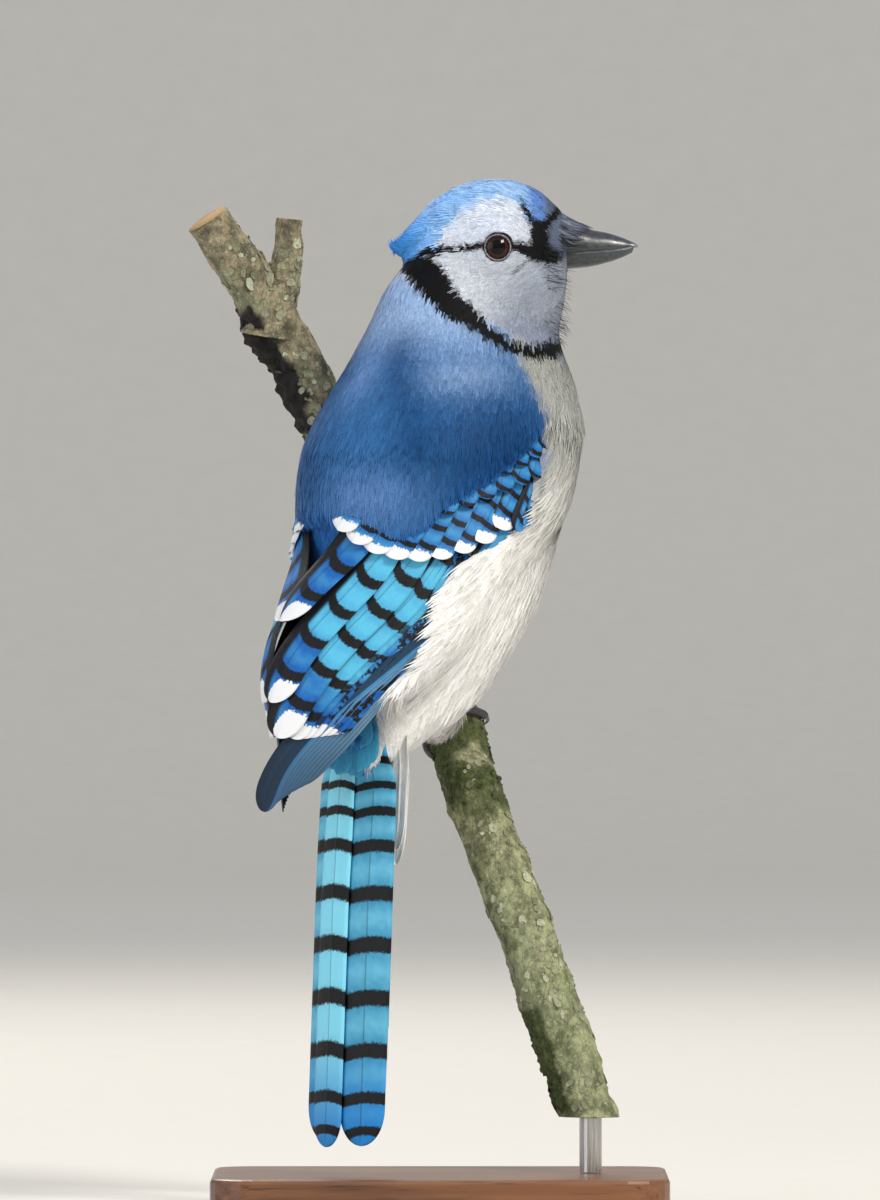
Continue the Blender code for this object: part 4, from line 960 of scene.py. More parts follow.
def skinColours(skin):
    points = meshPoints(skin.data)
    # The skin under the coat takes the coat's colours darkened: painted shade under the tufts.
    addValue(skin.data, "tint", np.column_stack((plumage(points) * 0.8, np.ones(len(points)))))
    mesh = skin.data
    corners = np.empty(len(mesh.loops), np.int32)
    mesh.loops.foreach_get("vertex_index", corners)
    places = unwrap(points)[corners]
    starts = np.empty(len(mesh.polygons), np.int32)
    mesh.polygons.foreach_get("loop_start", starts)
    first = np.repeat(places[starts], np.diff(np.append(starts, len(corners))), axis=0)
    places[:, 0] += np.where(places[:, 0] - first[:, 0] > 0.5, -0.96, 0)
    places[:, 0] += np.where(places[:, 0] - first[:, 0] < -0.5, 0.96, 0)
    jump = np.abs(places[:, 1] - first[:, 1]) > 0.2
    places[jump] = first[jump]
    mesh.uv_layers.new(name="OFBake").data.foreach_set("uv", places.astype(np.float32).ravel())


def coatLinks(tree):
    tint = stored(tree, "tint", 0)
    _, along, _ = parts(tree, stored(tree, "tuft"))
    place = objectPlace(tree)
    barbs = grain(tree, place, 2600.0, 2.0)
    # Tufts darker at their roots and lighter at their tips: painted shade between the tufts, with barb grain
    # added.
    shade = calc(tree, "ADD", stepped(tree, along, 0.0, 0.75, 0.76, 1.05),
                 stepped(tree, barbs, 0.3, 0.7, -0.10, 0.12))
    return {
        "Base Color": shaded(tree, tint, shade),
        "Roughness": stepped(tree, barbs, 0.2, 0.8, 0.50, 0.68),
        "Normal": bumped(tree, barbs, 0.25, 0.0002),
    }


# Flight feathers: each vane is a closed sheet with a raised shaft
def vaneMesh(pile, sheet, normal, thick, columns, **values):
    rows, count = sheet.shape[:2]
    if normal.ndim == 2:
        normal = np.broadcast_to(normal[:, None], sheet.shape)
    thin = 1 - 0.55 * np.abs(columns) ** 3
    shaft = 0.00022 * hump(columns, 0.0, 0.07) * np.linspace(1.0, 0.35, rows)[:, None]
    topLift = (thick / 2 * thin + shaft)[..., None]
    topSide = sheet + normal * topLift
    underSide = sheet - normal * (thick / 2 * thin + 0.6 * shaft)[..., None]
    half = rows * count
    faces = gridFaces(rows, count) + gridFaces(rows, count, half, flip=True)
    rim = [k for k in range(count)]
    rim += [r * count + count - 1 for r in range(1, rows)]
    rim += [(rows - 1) * count + k for k in range(count - 2, -1, -1)]
    rim += [r * count for r in range(rows - 2, 0, -1)]
    for a, b in zip(rim, rim[1:] + rim[:1]):
        faces.append((b, a, a + half, b + half))
    doubled = {
        name: np.concatenate([np.broadcast_to(v, (rows, count, 3)).reshape(-1, 3)] * 2)
        for name, v in values.items()
    }
    pile.add(np.concatenate((topSide.reshape(-1, 3), underSide.reshape(-1, 3))), faces, **doubled)


def vaneOutline(along, length, width, rootShare=0.55, point=0.5):
    blunt = max(1 - point * width / length, 0.55)
    body = mix(rootShare, 1.0, ramp(along, 0.0, 0.30))
    tip = np.sqrt(np.clip(1 - (np.clip(along - blunt, 0, None) / (1 - blunt)) ** 2, 0, 1))
    return body * np.maximum(tip, 0.03)


fullColumns = np.array((-1, -0.82, -0.62, -0.42, -0.22, -0.07, 0, 0.07, 0.25, 0.5, 0.75, 1.0))
# Tiers: a place is degrees round the body, height. tips and roots of the first and last feather
wingTiers = {
    "primary": {
        "count": 9, "first": ((81, 0.1860), (6, 0.1135)), "last": ((92, 0.1935), (46, 0.1212)),
        "width": 0.0074, "lift": -0.0004, "layer": 0.00045, "tilt": 0.0003, "bow": 14, "rows": 34,
        "point": 1.3, "white": 0.0, "pitch": 0.0, "start": 0.0, "tone": 0.30, "edge": 0.45,
    },
    "secondary": {
        "count": 7, "first": ((64, 0.1890), (32, 0.1345)), "last": ((77, 0.1850), (58, 0.1365)),
        "width": 0.0080, "lift": -0.0002, "layer": 0.0003, "tilt": 0.0016, "bow": 2, "rows": 34,
        "point": 0.5, "white": 0.0056, "pitch": 0.0118, "start": 0.0082, "tone": 0.9, "edge": 0.0,
    },
    "tertial": {
        "count": 3, "first": ((33, 0.1990), (3, 0.1668)), "last": ((56, 0.1930), (22, 0.1345)),
        "width": 0.0118, "lift": 0.0010, "layer": 0.0002, "tilt": 0.0017, "bow": 0, "rows": 30,
        "point": 0.8, "white": 0.0088, "pitch": 0.0116, "start": 0.0096, "tone": 0.8, "edge": 0.0,
    },
    "primaryCovert": {
        "count": 6, "first": ((98, 0.2080), (78, 0.1835)), "last": ((106, 0.2060), (88, 0.1800)),
        "width": 0.0062, "lift": 0.0004, "layer": 0.0001, "tilt": 0.0014, "bow": 0, "rows": 16,
        "point": 0.6, "white": 0.0, "pitch": 0.0, "start": 0.0040, "tone": 0.35, "edge": 0.2,
    },
    "greaterCovert": {
        "count": 9, "first": ((31, 0.2130), (17, 0.1928)), "last": ((96, 0.2110), (83, 0.1938)),
        "width": 0.0094, "lift": 0.0019, "layer": 0.0, "tilt": 0.0012, "bow": 0, "rows": 18,
        "point": 0.40, "white": 0.0042, "pitch": 0.0060, "start": 0.0058, "tone": 0.30, "edge": 0.0,
    },
    "medianCovert": {
        "count": 8, "first": ((52, 0.2120), (43, 0.1935)), "last": ((104, 0.2220), (98, 0.2085)),
        "width": 0.0080, "lift": 0.0023, "layer": 0.0, "tilt": 0.0012, "bow": 0, "rows": 14,
        "point": 0.34, "white": 0.0, "pitch": 0.0056, "start": 0.0008, "tone": 0.30, "edge": 0.0,
    },
    "lesserCovert": {
        "count": 7, "first": ((68, 0.2160), (60, 0.2020)), "last": ((107, 0.2290), (103, 0.2160)),
        "width": 0.0070, "lift": 0.0027, "layer": 0.0, "tilt": 0.0010, "bow": 0, "rows": 12,
        "point": 0.34, "white": 0.0, "pitch": 0.0054, "start": 0.0008, "tone": 0.28, "edge": 0.0,
    },
    "alula": {
        "count": 3, "first": ((105, 0.2110), (93, 0.1930)), "last": ((110, 0.2110), (101, 0.1960)),
        "width": 0.0058, "lift": 0.0030, "layer": 0.0001, "tilt": 0.0004, "bow": 0, "rows": 14,
        "point": 0.8, "white": 0.0, "pitch": 0.0060, "start": 0.0040, "tone": 0.3, "edge": 0.1,
    },
}


def shellPlace(side, degrees, height):
    centre, deep, wide, power = wingShell(side, height)
    turn = np.radians(degrees)
    back = signedPower(np.cos(turn), 2 / power)
    out = signedPower(np.sin(turn), 2 / power)
    return torsoPlace(centre - deep * back, side * wide * out, height)


def shellNormal(side, degrees, height):
    across = shellPlace(side, degrees + 2, height) - shellPlace(side, degrees - 2, height)
    rising = shellPlace(side, degrees, height + 0.002) - shellPlace(side, degrees, height - 0.002)
    return unit(np.cross(across, rising)) * (-1 if side == left else 1)


def shellDegrees(side, place):
    centre, deep, wide, power = wingShell(side, place[..., 2])
    back = signedPower((centre - place @ torsoForward) / deep, power / 2)
    out = signedPower(side * (place @ torsoLeft) / wide, power / 2)
    return np.degrees(np.arctan2(out, back))


def wingVane(pile, side, root, tip, name, tier, number, rng):
    steps = np.sin(np.linspace(0, math.pi / 2, tier["rows"])) ** 0.9
    degrees = mix(root[0], tip[0], steps) + tier["bow"] * 4 * steps * (1 - steps)
    middle = shellPlace(side, degrees, mix(root[1], tip[1], steps))
    way = unit(np.gradient(middle, axis=0))
    turn = math.radians(wingShape["bladeTurn"])
    blade = torsoLeft * (side * math.sin(turn)) - torsoForward * math.cos(turn)
    flat = 1 - ramp(middle[:, 2], wingShape["flatTo"], wingShape["flatFrom"])
    normal = shellNormal(side, shellDegrees(side, middle), middle[:, 2])
    normal = unit(mix(normal, blade, flat[:, None]))
    across = unit(np.cross(normal, way)) * (1 if side == left else -1)
    step = np.linalg.norm(np.diff(middle, axis=0), axis=1)
    fromRoot = np.concatenate(((0,), np.cumsum(step)))
    length = fromRoot[-1]
    half = tier["width"] / 2 * vaneOutline(steps, length, tier["width"], 0.6, tier["point"])
    layers = tier["layer"] * number
    rise = steps**0.8
    lift = mix(wingShape["rootLift"], tier["lift"], rise) - layers * rise + 0.00001 * number
    spread = fullColumns * half[:, None]
    edges = middle[:, None] + across[:, None] * spread[..., None]
    slope = -fullColumns * tier["tilt"] / 2 * np.minimum(steps * 3, 1)[:, None]
    slope = slope - 0.00025 * (fullColumns**2) * (half / half.max())[:, None]
    turns = shellDegrees(side, edges)
    stand = (lift[:, None] + slope)[..., None]
    bent = shellPlace(side, turns, edges[..., 2]) + shellNormal(side, turns, edges[..., 2]) * stand
    straight = edges + normal[:, None] * stand
    sheet = mix(bent, straight, flat[:, None, None])
    fromTip = (length - fromRoot)[:, None] + 0 * fullColumns
    bar = 0.5 + 0 * fromTip
    if tier["pitch"]:
        bar = (fromTip - tier["start"] + 0.0006 * rng.normal()) / tier["pitch"]
        bar = bar - 0.26 * (fullColumns + 0.30) ** 2
    place = np.stack((fullColumns + 0 * fromTip, fromTip, bar), -1)
    share = number / max(tier["count"] - 1, 1)
    white = tier["white"] * rng.uniform(0.9, 1.1)
    tone = tier["tone"] * rng.uniform(0.9, 1.1) + 0 * fromTip
    edge = tier["edge"] * share
    if name == "secondary":
        white *= 1 - 0.85 * ramp(number, 2.5, 6)
        edge = -ramp(number, 0.6, 2.2)  # below nothing: blotches in place of bars
        tone = mix(0.22, 0.95, ramp(fromTip, 0.015, 0.021)) * (1 - 0.75 * ramp(number, 0.5, 2.5))
        place[..., 2] += 0.10 * number
    if name == "tertial":
        tone = mix(0.16, 0.95, ramp(fromTip, 0.019, 0.025)) if number else 0.16 + 0 * fromTip
        place[..., 2] += (0.0, 0.0, -0.1)[number]
    if name == "primary":
        edge = 0.35 + 0.50 * share
    look = np.stack((white + 0 * tone, tone, edge + 0 * tone), -1)
    vaneMesh(pile, sheet, normal, wingShape["thick"], fullColumns, vane=place, look=look)


def makeWing(side, featherMaterial):
    rng = np.random.default_rng(31)
    pile = Pile()
    for name, tier in wingTiers.items():
        for number in range(tier["count"]):
            share = number / max(tier["count"] - 1, 1)
            root = [mix(a, b, share) for a, b in zip(tier["first"][0], tier["last"][0])]
            tip = [mix(a, b, share) for a, b in zip(tier["first"][1], tier["last"][1])]
            if side == left and root[0] > 98:
                continue  # under the breast's feathers on the far side
            if name == "tertial" and number == 1:
                tip[1] -= 0.0062
            if name == "greaterCovert":
                tip[1] -= wingShape["sag"] * 4 * share * (1 - share)
                root[1] -= wingShape["sag"] * 2 * share * (1 - share)
            wingVane(pile, side, root, tip, name, tier, number, rng)
    word = "Right" if side == right else "Left"
    wing = outward(pile.build(f"wingFeathers{word}", featherMaterial))
    return finished(wing, "wing_blue", f"wing_{word.lower()}")


tailLook = {
    "length": 0.1070, "lean": (-0.0036, -0.0026), "layer": 0.0009, "spread": 0.12, "thick": 0.00036,
    "rows": 70,
    # heights of the black bars' middles, from the root down
    "bars": (0.1282, 0.1212, 0.1140, 0.1044, 0.0907, 0.0762, 0.0611, 0.0460, 0.0323, 0.0231, 0.0150),
}
tailFeathers = (  # side, layer, offset from the middle, half width, shorter by, roll, white tip
    (left, 0, 0.0056, 0.0062, 0.0, 9, 0.0), (right, 1, 0.0069, 0.0077, 0.0006, 8, 0.0),
    (left, 2, 0.0082, 0.0074, 0.0018, 8, 0.0), (right, 2, 0.0062, 0.0072, 0.0012, 8, 0.0),
    (left, 3, 0.0078, 0.0068, 0.0030, 8, 0.006), (right, 3, 0.0060, 0.0068, 0.0030, 8, 0.006),
    (left, 4, 0.0083, 0.0064, 0.0060, 8, 0.010), (right, 4, 0.0059, 0.0064, 0.0060, 8, 0.010),
    (left, 5, 0.0088, 0.0060, 0.0100, 8, 0.014), (right, 5, 0.0058, 0.0060, 0.0100, 8, 0.014),
    (left, 6, 0.0092, 0.0055, 0.0165, 8, 0.018), (right, 6, 0.0058, 0.0055, 0.0165, 8, 0.018),
)


def makeTail(featherMaterial):
    rng = np.random.default_rng(12)
    pile = Pile()
    lean = np.array((*tailLook["lean"], -tailLook["length"]))
    top = -tailForward
    along = np.sin(np.linspace(0, math.pi / 2, tailLook["rows"])) ** 0.9
    bars = np.array(sorted(tailLook["bars"]))
    for number, (side, layer, offset, half, short, roll, white) in enumerate(tailFeathers):
        length = mix(-0.085, 1 - short / tailLook["length"], along)
        spread = ramp(along, 0, tailLook["spread"])
        depth = (3 - layer) * tailLook["layer"] * mix(0.35, 1, np.minimum(along * 2.5, 1))
        depth = depth + 0.00002 * number
        middle = (
            tailRoot + lean * length[:, None] + tailLeft * (side * mix(0.0042, offset, spread))[:, None]
            + top * depth[:, None]
        )
        tilt = np.radians(roll) * side * spread[:, None]
        across = tailLeft * np.cos(tilt) - top * np.sin(tilt)
        normal = top * np.cos(tilt) + tailLeft * np.sin(tilt)
        reach = tailLook["length"] - short
        wide = half * vaneOutline(along, reach, 2 * half, 0.9, 0.62) * mix(0.8, 1, spread)
        columns = fullColumns * -side
        sheet = middle[:, None] + across[:, None] * (columns * wide[:, None])[..., None]
        sheet = sheet + normal[:, None] * (0.0004 * (1 - fullColumns**2) - 0.0002)[None, :, None]
        z = sheet[..., 2]
        fromTip = middle[:, None, 2] - middle[-1, 2] + 0 * columns
        curve = 0.0010 * fullColumns**2 + 0.0007 * (side == right) * fullColumns
        bar = np.interp(z + curve, bars, np.arange(len(bars)) + 0.0)
        bar = bar + 0.03 * rng.normal() + 0.5 * ramp(z, 0.128, 0.132)
        place = np.stack((fullColumns + 0 * fromTip, fromTip, bar), -1)
        # The top left feather is painted lighter and the top right one darker: painted light and painted
        # shade on two copies of the same blue.
        tone = (1.10, 0.38)[number] if number < 2 else 0.5
        look = np.broadcast_to(np.array((white, tone, 0.0)), sheet.shape)
        vaneMesh(pile, sheet, normal, tailLook["thick"], fullColumns, vane=place, look=look)
    tail = outward(pile.build("tailFeathers", featherMaterial))
    return finished(tail, "tail_blue", "tail")


def featherGroup():
    inputs = (
        ("Deep", "NodeSocketColor", paint("#0b5fb2")), ("Sky", "NodeSocketColor", paint("#58bce2")),
        ("Bar Width", "NodeSocketFloat", 0.145), ("Inner Dark", "NodeSocketFloat", 1.0),
        ("Tip Shade", "NodeSocketFloat", 0.0),
    )
    outputs = (("Color", "NodeSocketColor"), ("Height", "NodeSocketFloat"), ("Gloss", "NodeSocketFloat"))

    def build(tree, given):
        across, fromTip, bar = parts(tree, stored(tree, "vane"))
        white, tone, edge = parts(tree, stored(tree, "look"))
        place = objectPlace(tree)
        soft = grain(tree, place, 420.0, 3.0)
        barbSlant = calc(tree, "ADD", fromTip,
                         calc(tree, "MULTIPLY", calc(tree, "ABSOLUTE", across), -0.0042))
        barbs = calc(tree, "SINE", calc(tree, "ADD", calc(tree, "MULTIPLY", barbSlant, 15000.0),
                                        calc(tree, "MULTIPLY", soft, 5.0)))
        fine = calc(tree, "ADD", calc(tree, "MULTIPLY", barbs, 0.5), 0.5)
        ragged = stepped(tree, grain(tree, place, 1500.0, 2.0), 0.25, 0.75, -0.022, 0.022)
        raggedBar = calc(tree, "ADD", bar, ragged)
        phase = calc(tree, "FRACT", calc(tree, "ADD", raggedBar, 0.5))
        off = calc(tree, "ABSOLUTE", calc(tree, "SUBTRACT", phase, 0.5))
        wide = given["Bar Width"]
        inside, outside = calc(tree, "SUBTRACT", wide, 0.03), calc(tree, "ADD", wide, 0.03)
        barMask = stepped(tree, off, inside, outside, 1.0, 0.0)
        blotch = stepped(tree, grain(tree, place, 330.0, 3.0, 0.7), 0.47, 0.53, 0.0, 1.0)
        blotched = calc(tree, "MAXIMUM", calc(tree, "MULTIPLY", edge, -1.0), 0.0)
        barMask = lay(tree, "ShaderNodeMix", {0: blotched, 2: barMask, 3: blotch})
        baseTone = calc(tree, "ADD", tone, stepped(tree, off, 0.15, 0.5, -0.18, 0.10))
        base = tinted(tree, calc(tree, "ADD", baseTone, stepped(tree, soft, 0.3, 0.7, -0.06, 0.06)),
                      given["Deep"], given["Sky"])
        tipShade = calc(tree, "MULTIPLY", stepped(tree, fromTip, 0.0, 0.035, 1.0, 0.0), given["Tip Shade"])
        base = tinted(tree, tipShade, base, paint("#0f86dc"))
        outerEdge = stepped(tree, across, -0.86, -0.78, 1.0, 0.0)
        rib = calc(tree, "MULTIPLY", calc(tree, "MAXIMUM", edge, 0.0), outerEdge)
        base = tinted(tree, rib, base, paint("#9dbccb"))
        ofPrimary = calc(tree, "GREATER_THAN", edge, 0.05)
        slate = calc(tree, "MULTIPLY", ofPrimary, stepped(tree, fromTip, 0.0, 0.050, 0.92, 0.25))
        base = tinted(tree, slate, base, paint("#33577a"))
        slit = calc(tree, "MULTIPLY", ofPrimary, stepped(tree, across, -0.66, -0.58))
        base = tinted(tree, calc(tree, "MULTIPLY", slit, 0.85), base, paint("#0a1a2a"))
        base = tinted(tree, barMask, base, paint("#0b0c10"))
        inner = calc(tree, "MULTIPLY", stepped(tree, across, 0.28, 0.55), given["Inner Dark"])
        dimmed = calc(tree, "SUBTRACT", 1.0, calc(tree, "MULTIPLY", ofPrimary, 0.75))
        inner = calc(tree, "MULTIPLY", inner, dimmed)
        base = tinted(tree, inner, base, paint("#101318"))
        line = stepped(tree, calc(tree, "ABSOLUTE", across), 0.015, 0.05, 0.40, 0.0)
        base = tinted(tree, line, base, paint("#0c1420"))
        rimmed = calc(tree, "ADD", fromTip, calc(tree, "MULTIPLY", calc(tree, "ADD", across, 1.0), 0.0010))
        oval = calc(tree, "MULTIPLY", calc(tree, "GREATER_THAN", white, 0.0064),
                    stepped(tree, across, -0.05, 0.70, 0.0, 0.008))
        rimmed = calc(tree, "ADD", rimmed, oval)
        frayed = stepped(tree, grain(tree, place, 1300.0, 2.0), 0.3, 0.7, -0.0005, 0.0005)
        rimmed = calc(tree, "ADD", rimmed, frayed)
        tipMask = calc(tree, "MULTIPLY", calc(tree, "GREATER_THAN", white, 0.0003),
                       stepped(tree, calc(tree, "SUBTRACT", rimmed, white), -0.0003, 0.0003, 1.0, 0.0))
        base = tinted(tree, tipMask, base, paint("#eef1f4"))
        shade = stepped(tree, fine, 0.0, 1.0, 0.86, 1.08)
        grey = lay(tree, "ShaderNodeCombineColor", {k: shade for k in range(3)})
        base = tinted(tree, 1.0, base, grey, "MULTIPLY")
        gloss = stepped(tree, fine, 0.0, 1.0, 0.42, 0.56)
        return {"Color": base, "Height": fine, "Gloss": gloss}

    return shaderGroup("featherPattern", inputs, outputs, build)


def featherMaterial(name, group, **values):
    def links(tree):
        made = useGroup(tree, group, **values)
        return {"Base Color": made["Color"], "Roughness": made["Gloss"],
                "Normal": bumped(tree, made["Height"], 0.35, 0.0001)}
    return material(name, links, Specular_IOR_Level=0.28)


# Soft coverts over and under the root of the tail
tailCoverts = (  # face of the tail, count, spread at root and tip, root, tip, off, rise, tint
    (1, 11, 0.0150, 0.0170, 0.0150, -0.0010, 0.0052, 0.0030, "#2f93bd"),
    (1, 8, 0.0110, 0.0150, 0.0170, 0.0050, 0.0062, 0.0030, "#2c86b6"),
    (-1, 11, 0.0200, 0.0120, 0.0100, -0.0330, 0.0070, 0.0110, "#f6f6f4"),
    (-1, 9, 0.0250, 0.0190, 0.0100, -0.0300, 0.0052, 0.0090, "#f8f8f6"),
    (-1, 9, 0.0270, 0.0220, 0.0100, -0.0270, 0.0034, 0.0090, "#fafaf8"),
)


def makeTailCoverts(plainMaterial):
    rng = np.random.default_rng(3)
    pile = Pile()
    along = np.sin(np.linspace(0, math.pi / 2, 18))
    for face, count, rootSpread, tipSpread, root, tip, off, rise, tint in tailCoverts:
        for number in range(count):
            share = number / (count - 1) - 0.5
            out = share * mix(rootSpread, tipSpread, along)
            depth = mix(0.0040, off, np.minimum(along * 3, 1)) + 0.0006 * (number % 3) * along
            drop = mix(root, tip + rise * abs(share) + 0.002 * rng.normal() * 0.4, along)
            middle = (
                tailRoot + tailLeft * out[:, None] + up * drop[:, None]
                - tailForward * (face * depth)[:, None]
            )
            half = 0.0034 * vaneOutline(along, abs(tip - root), 0.0068, 0.5, 1.6)
            sheet = middle[:, None] + tailLeft * (fullColumns * half[:, None])[..., None]
            sheet = sheet - tailForward * face * (-0.0007 * fullColumns**2)[None, :, None]
            normal = np.broadcast_to(-tailForward * face, middle.shape)
            flat = 0 * sheet[..., 0]
            place = np.stack((fullColumns + flat, flat, along[:, None] + flat), -1)
            look = np.broadcast_to(colour(tint) * rng.uniform(0.93, 1.05), sheet.shape)
            vaneMesh(pile, sheet, normal, 0.0003, fullColumns, vane=place, shade=look)
    return finished(outward(pile.build("tailCoverts", plainMaterial)), "plumage_white", "rump")


def softVaneLinks(tree):
    _, _, along = parts(tree, stored(tree, "vane"))
    tint = stored(tree, "shade")
    place = objectPlace(tree)
    soft = grain(tree, stretched(tree, place, 1.0, 1.0, 0.25), 2200.0, 3.0)
    streak = stepped(tree, soft, 0.3, 0.7, -0.07, 0.07)
    # Coverts darker at their roots and lighter at their tips: painted shade where they overlap, with streaks
    # added.
    shade = calc(tree, "ADD", stepped(tree, along, 0.0, 0.7, 0.72, 1.02), streak)
    return {"Base Color": shaded(tree, tint, shade), "Roughness": stepped(tree, soft, 0.2, 0.8, 0.55, 0.72),
            "Normal": bumped(tree, soft, 0.5, 0.0002)}


# Bill, eyes and lids
billStations = (  # along X, top of the upper half, mouth line, bottom of the lower half, half width
    (0.0305, 0.2800, 0.2712, 0.2668, 0.0046), (0.0362, 0.2812, 0.2722, 0.2676, 0.0047),
    (0.0430, 0.2790, 0.2728, 0.2684, 0.0038), (0.0480, 0.2780, 0.2731, 0.2696, 0.0030),
    (0.0520, 0.2767, 0.2735, 0.2710, 0.0022), (0.0548, 0.2755, 0.2740, 0.2724, 0.0012),
)
billTip = (0.0566, 0.2742)


def makeBill(hornMaterial):
    arch = np.radians(np.linspace(0, 180, 25))
    for name, upper in (("billUpper", True), ("billLower", False)):
        places = np.linspace(0.0305, 0.0548, 40)
        top, mouth, bottom, wide = rowsAt(billStations, places)
        flat = mouth + (0.00008 if upper else -0.00008)
        tall = (top if upper else bottom) - flat
        ridge = np.sin(arch) ** 0.86
        rings = np.stack((
            np.broadcast_to(places[:, None], (40, 25)),
            headY + wide[:, None] * np.cos(arch) * (1 - 0.10 * np.sin(arch) ** 2),
            flat[:, None] + tall[:, None] * ridge,
        ), -1)
        back, above = (0.0, 0.0001) if upper else (0.0012, -0.0001)
        tip = np.array((billTip[0] - back, headY, billTip[1] + above))
        shares = np.array((0.30, 0.55, 0.76, 0.90, 0.97))[:, None, None]
        shrink = np.sqrt(1 - shares**2)
        middle = rings[-1].mean(0)
        close = middle + (rings[-1] - middle) * shrink + (tip - middle) * shares
        rings = np.concatenate((rings, close))
        pile = Pile()
        pile.add(*tubeMesh(rings))
        bill = outward(pile.build(name, hornMaterial))
        finished(bill, "bill_black", "bill_upper" if upper else "bill_lower")


bristleLook = {"nasal": 820, "gape": 120, "chin": 120, "nasalThick": 0.00017, "fineThick": 0.00007}


def headSpot(x, turn):  # a point on the head's surface, turn in radians from the crown
    crown, throat, wide = rowsAt(headRings, x)
    return np.array((x, headY + wide * (1 - 0.08 * math.cos(turn)) * math.sin(turn),
                     (crown + throat) / 2 + (crown - throat) / 2 * math.cos(turn)))


def billSpot(x, turn, off):  # a point off the bill's surface, turn in radians from its ridge
    top, mouth, bottom, wide = rowsAt(billStations, x)
    tall = top - mouth if math.cos(turn) > 0 else mouth - bottom
    return np.array((x, headY + (wide + off) * math.sin(turn), mouth + (tall + off) * math.cos(turn)))


def makeBristles(hairMaterial):
    rng = np.random.default_rng(5)
    pile = Pile()
    share = np.linspace(0, 1, 7)[:, None]

    def hair(start, middle, end, thick, tint):
        path = start * (1 - share) ** 2 + 2 * middle * share * (1 - share) + end * share**2
        radii = thick * (1 - 0.9 * share[:, 0] ** 1.5)
        points, faces = tubeMesh(sweep(path, radii, 4))
        pile.add(points, faces, tint=np.broadcast_to((*tint, 1.0), (len(points), 4)))

    dark, grey, pale = colour("#14161b"), colour("#59627a"), colour("#98a3bd")
    for number in range(bristleLook["nasal"]):
        turn = math.radians(rng.triangular(-98, 0, 98))
        x = rng.uniform(0.0306, 0.0361)
        reach = rng.uniform(0.0044, 0.0084) * (1 - 0.20 * abs(turn))
        start = headSpot(x, 0.74 * turn) - (0.0006, 0, 0.0003)
        end = billSpot(x + reach, turn * 0.92, rng.uniform(0.0001, 0.0007))
        middle = mix((start + end) / 2, billSpot(x + reach * 0.45, turn, 0.0010), 0.85)
        tone = mix(grey, pale, rng.uniform())
        tone = mix(tone, dark, min(abs(turn) ** 1.5 * 0.30 + rng.uniform() ** 2.4, 1))
        hair(start, middle, end, bristleLook["nasalThick"] * rng.uniform(0.6, 1.2), tone)
    for side in (right, left):
        for number in range(bristleLook["gape"] // 2):
            turn = side * math.radians(rng.uniform(84, 128))
            start = headSpot(rng.uniform(0.0290, 0.0345), 0.8 * turn)
            way = np.array((rng.uniform(0.55, 1.0), side * rng.uniform(0.0, 0.35), rng.uniform(-0.5, -0.05)))
            reach = rng.uniform(0.0025, 0.0055)
            middle = start + unit(way + (0, side * 0.25, 0.25)) * reach * 0.55
            hair(start, middle, start + unit(way) * reach, bristleLook["fineThick"], dark)
    for number in range(bristleLook["chin"]):
        turn = math.radians(rng.uniform(118, 242))
        start = headSpot(rng.uniform(0.0295, 0.0350), turn)
        way = np.array((rng.uniform(0.4, 1.0), 0.5 * math.sin(turn), rng.uniform(-0.9, -0.2)))
        reach = rng.uniform(0.0020, 0.0045)
        middle = start + unit(way + (0.5, 0, 0.3)) * reach * 0.5
        tone = mix(dark, grey, 0.4 * rng.uniform())
        hair(start, middle, start + unit(way) * reach, bristleLook["fineThick"], tone)
    finished(outward(pile.build("bristles", hairMaterial)), "plumage_white")


def hairLinks(tree):
    fine = grain(tree, stretched(tree, objectPlace(tree), 0.2, 1.0, 1.0), 3000.0, 2.0)
    shade = stepped(tree, fine, 0.3, 0.7, 0.75, 1.15)
    toned = shaded(tree, stored(tree, "tint", 0), shade)
    return {"Base Color": toned, "Roughness": stepped(tree, fine, 0.2, 0.8, 0.45, 0.6)}


def hornLinks(tree):
    place = objectPlace(tree)
    x, _, _ = parts(tree, place)
    streak = grain(tree, stretched(tree, place, 0.35, 1.0, 1.0), 1400.0, 3.0)
    base = tinted(tree, stepped(tree, x, 0.034, 0.056), paint("#171b20"), paint("#333a41"))
    base = tinted(tree, stepped(tree, streak, 0.45, 0.80, 0.0, 0.35), base, paint("#5a646c"))
    # The pale tip is a painted highlight.
    tipHighlight = stepped(tree, x, 0.0545, 0.0566, 0.0, 0.7)
    base = tinted(tree, tipHighlight, base, paint("#8d9299"))
    return {"Base Color": base, "Roughness": stepped(tree, streak, 0.2, 0.8, 0.22, 0.40),
            "Normal": bumped(tree, streak, 0.25, 0.0002)}


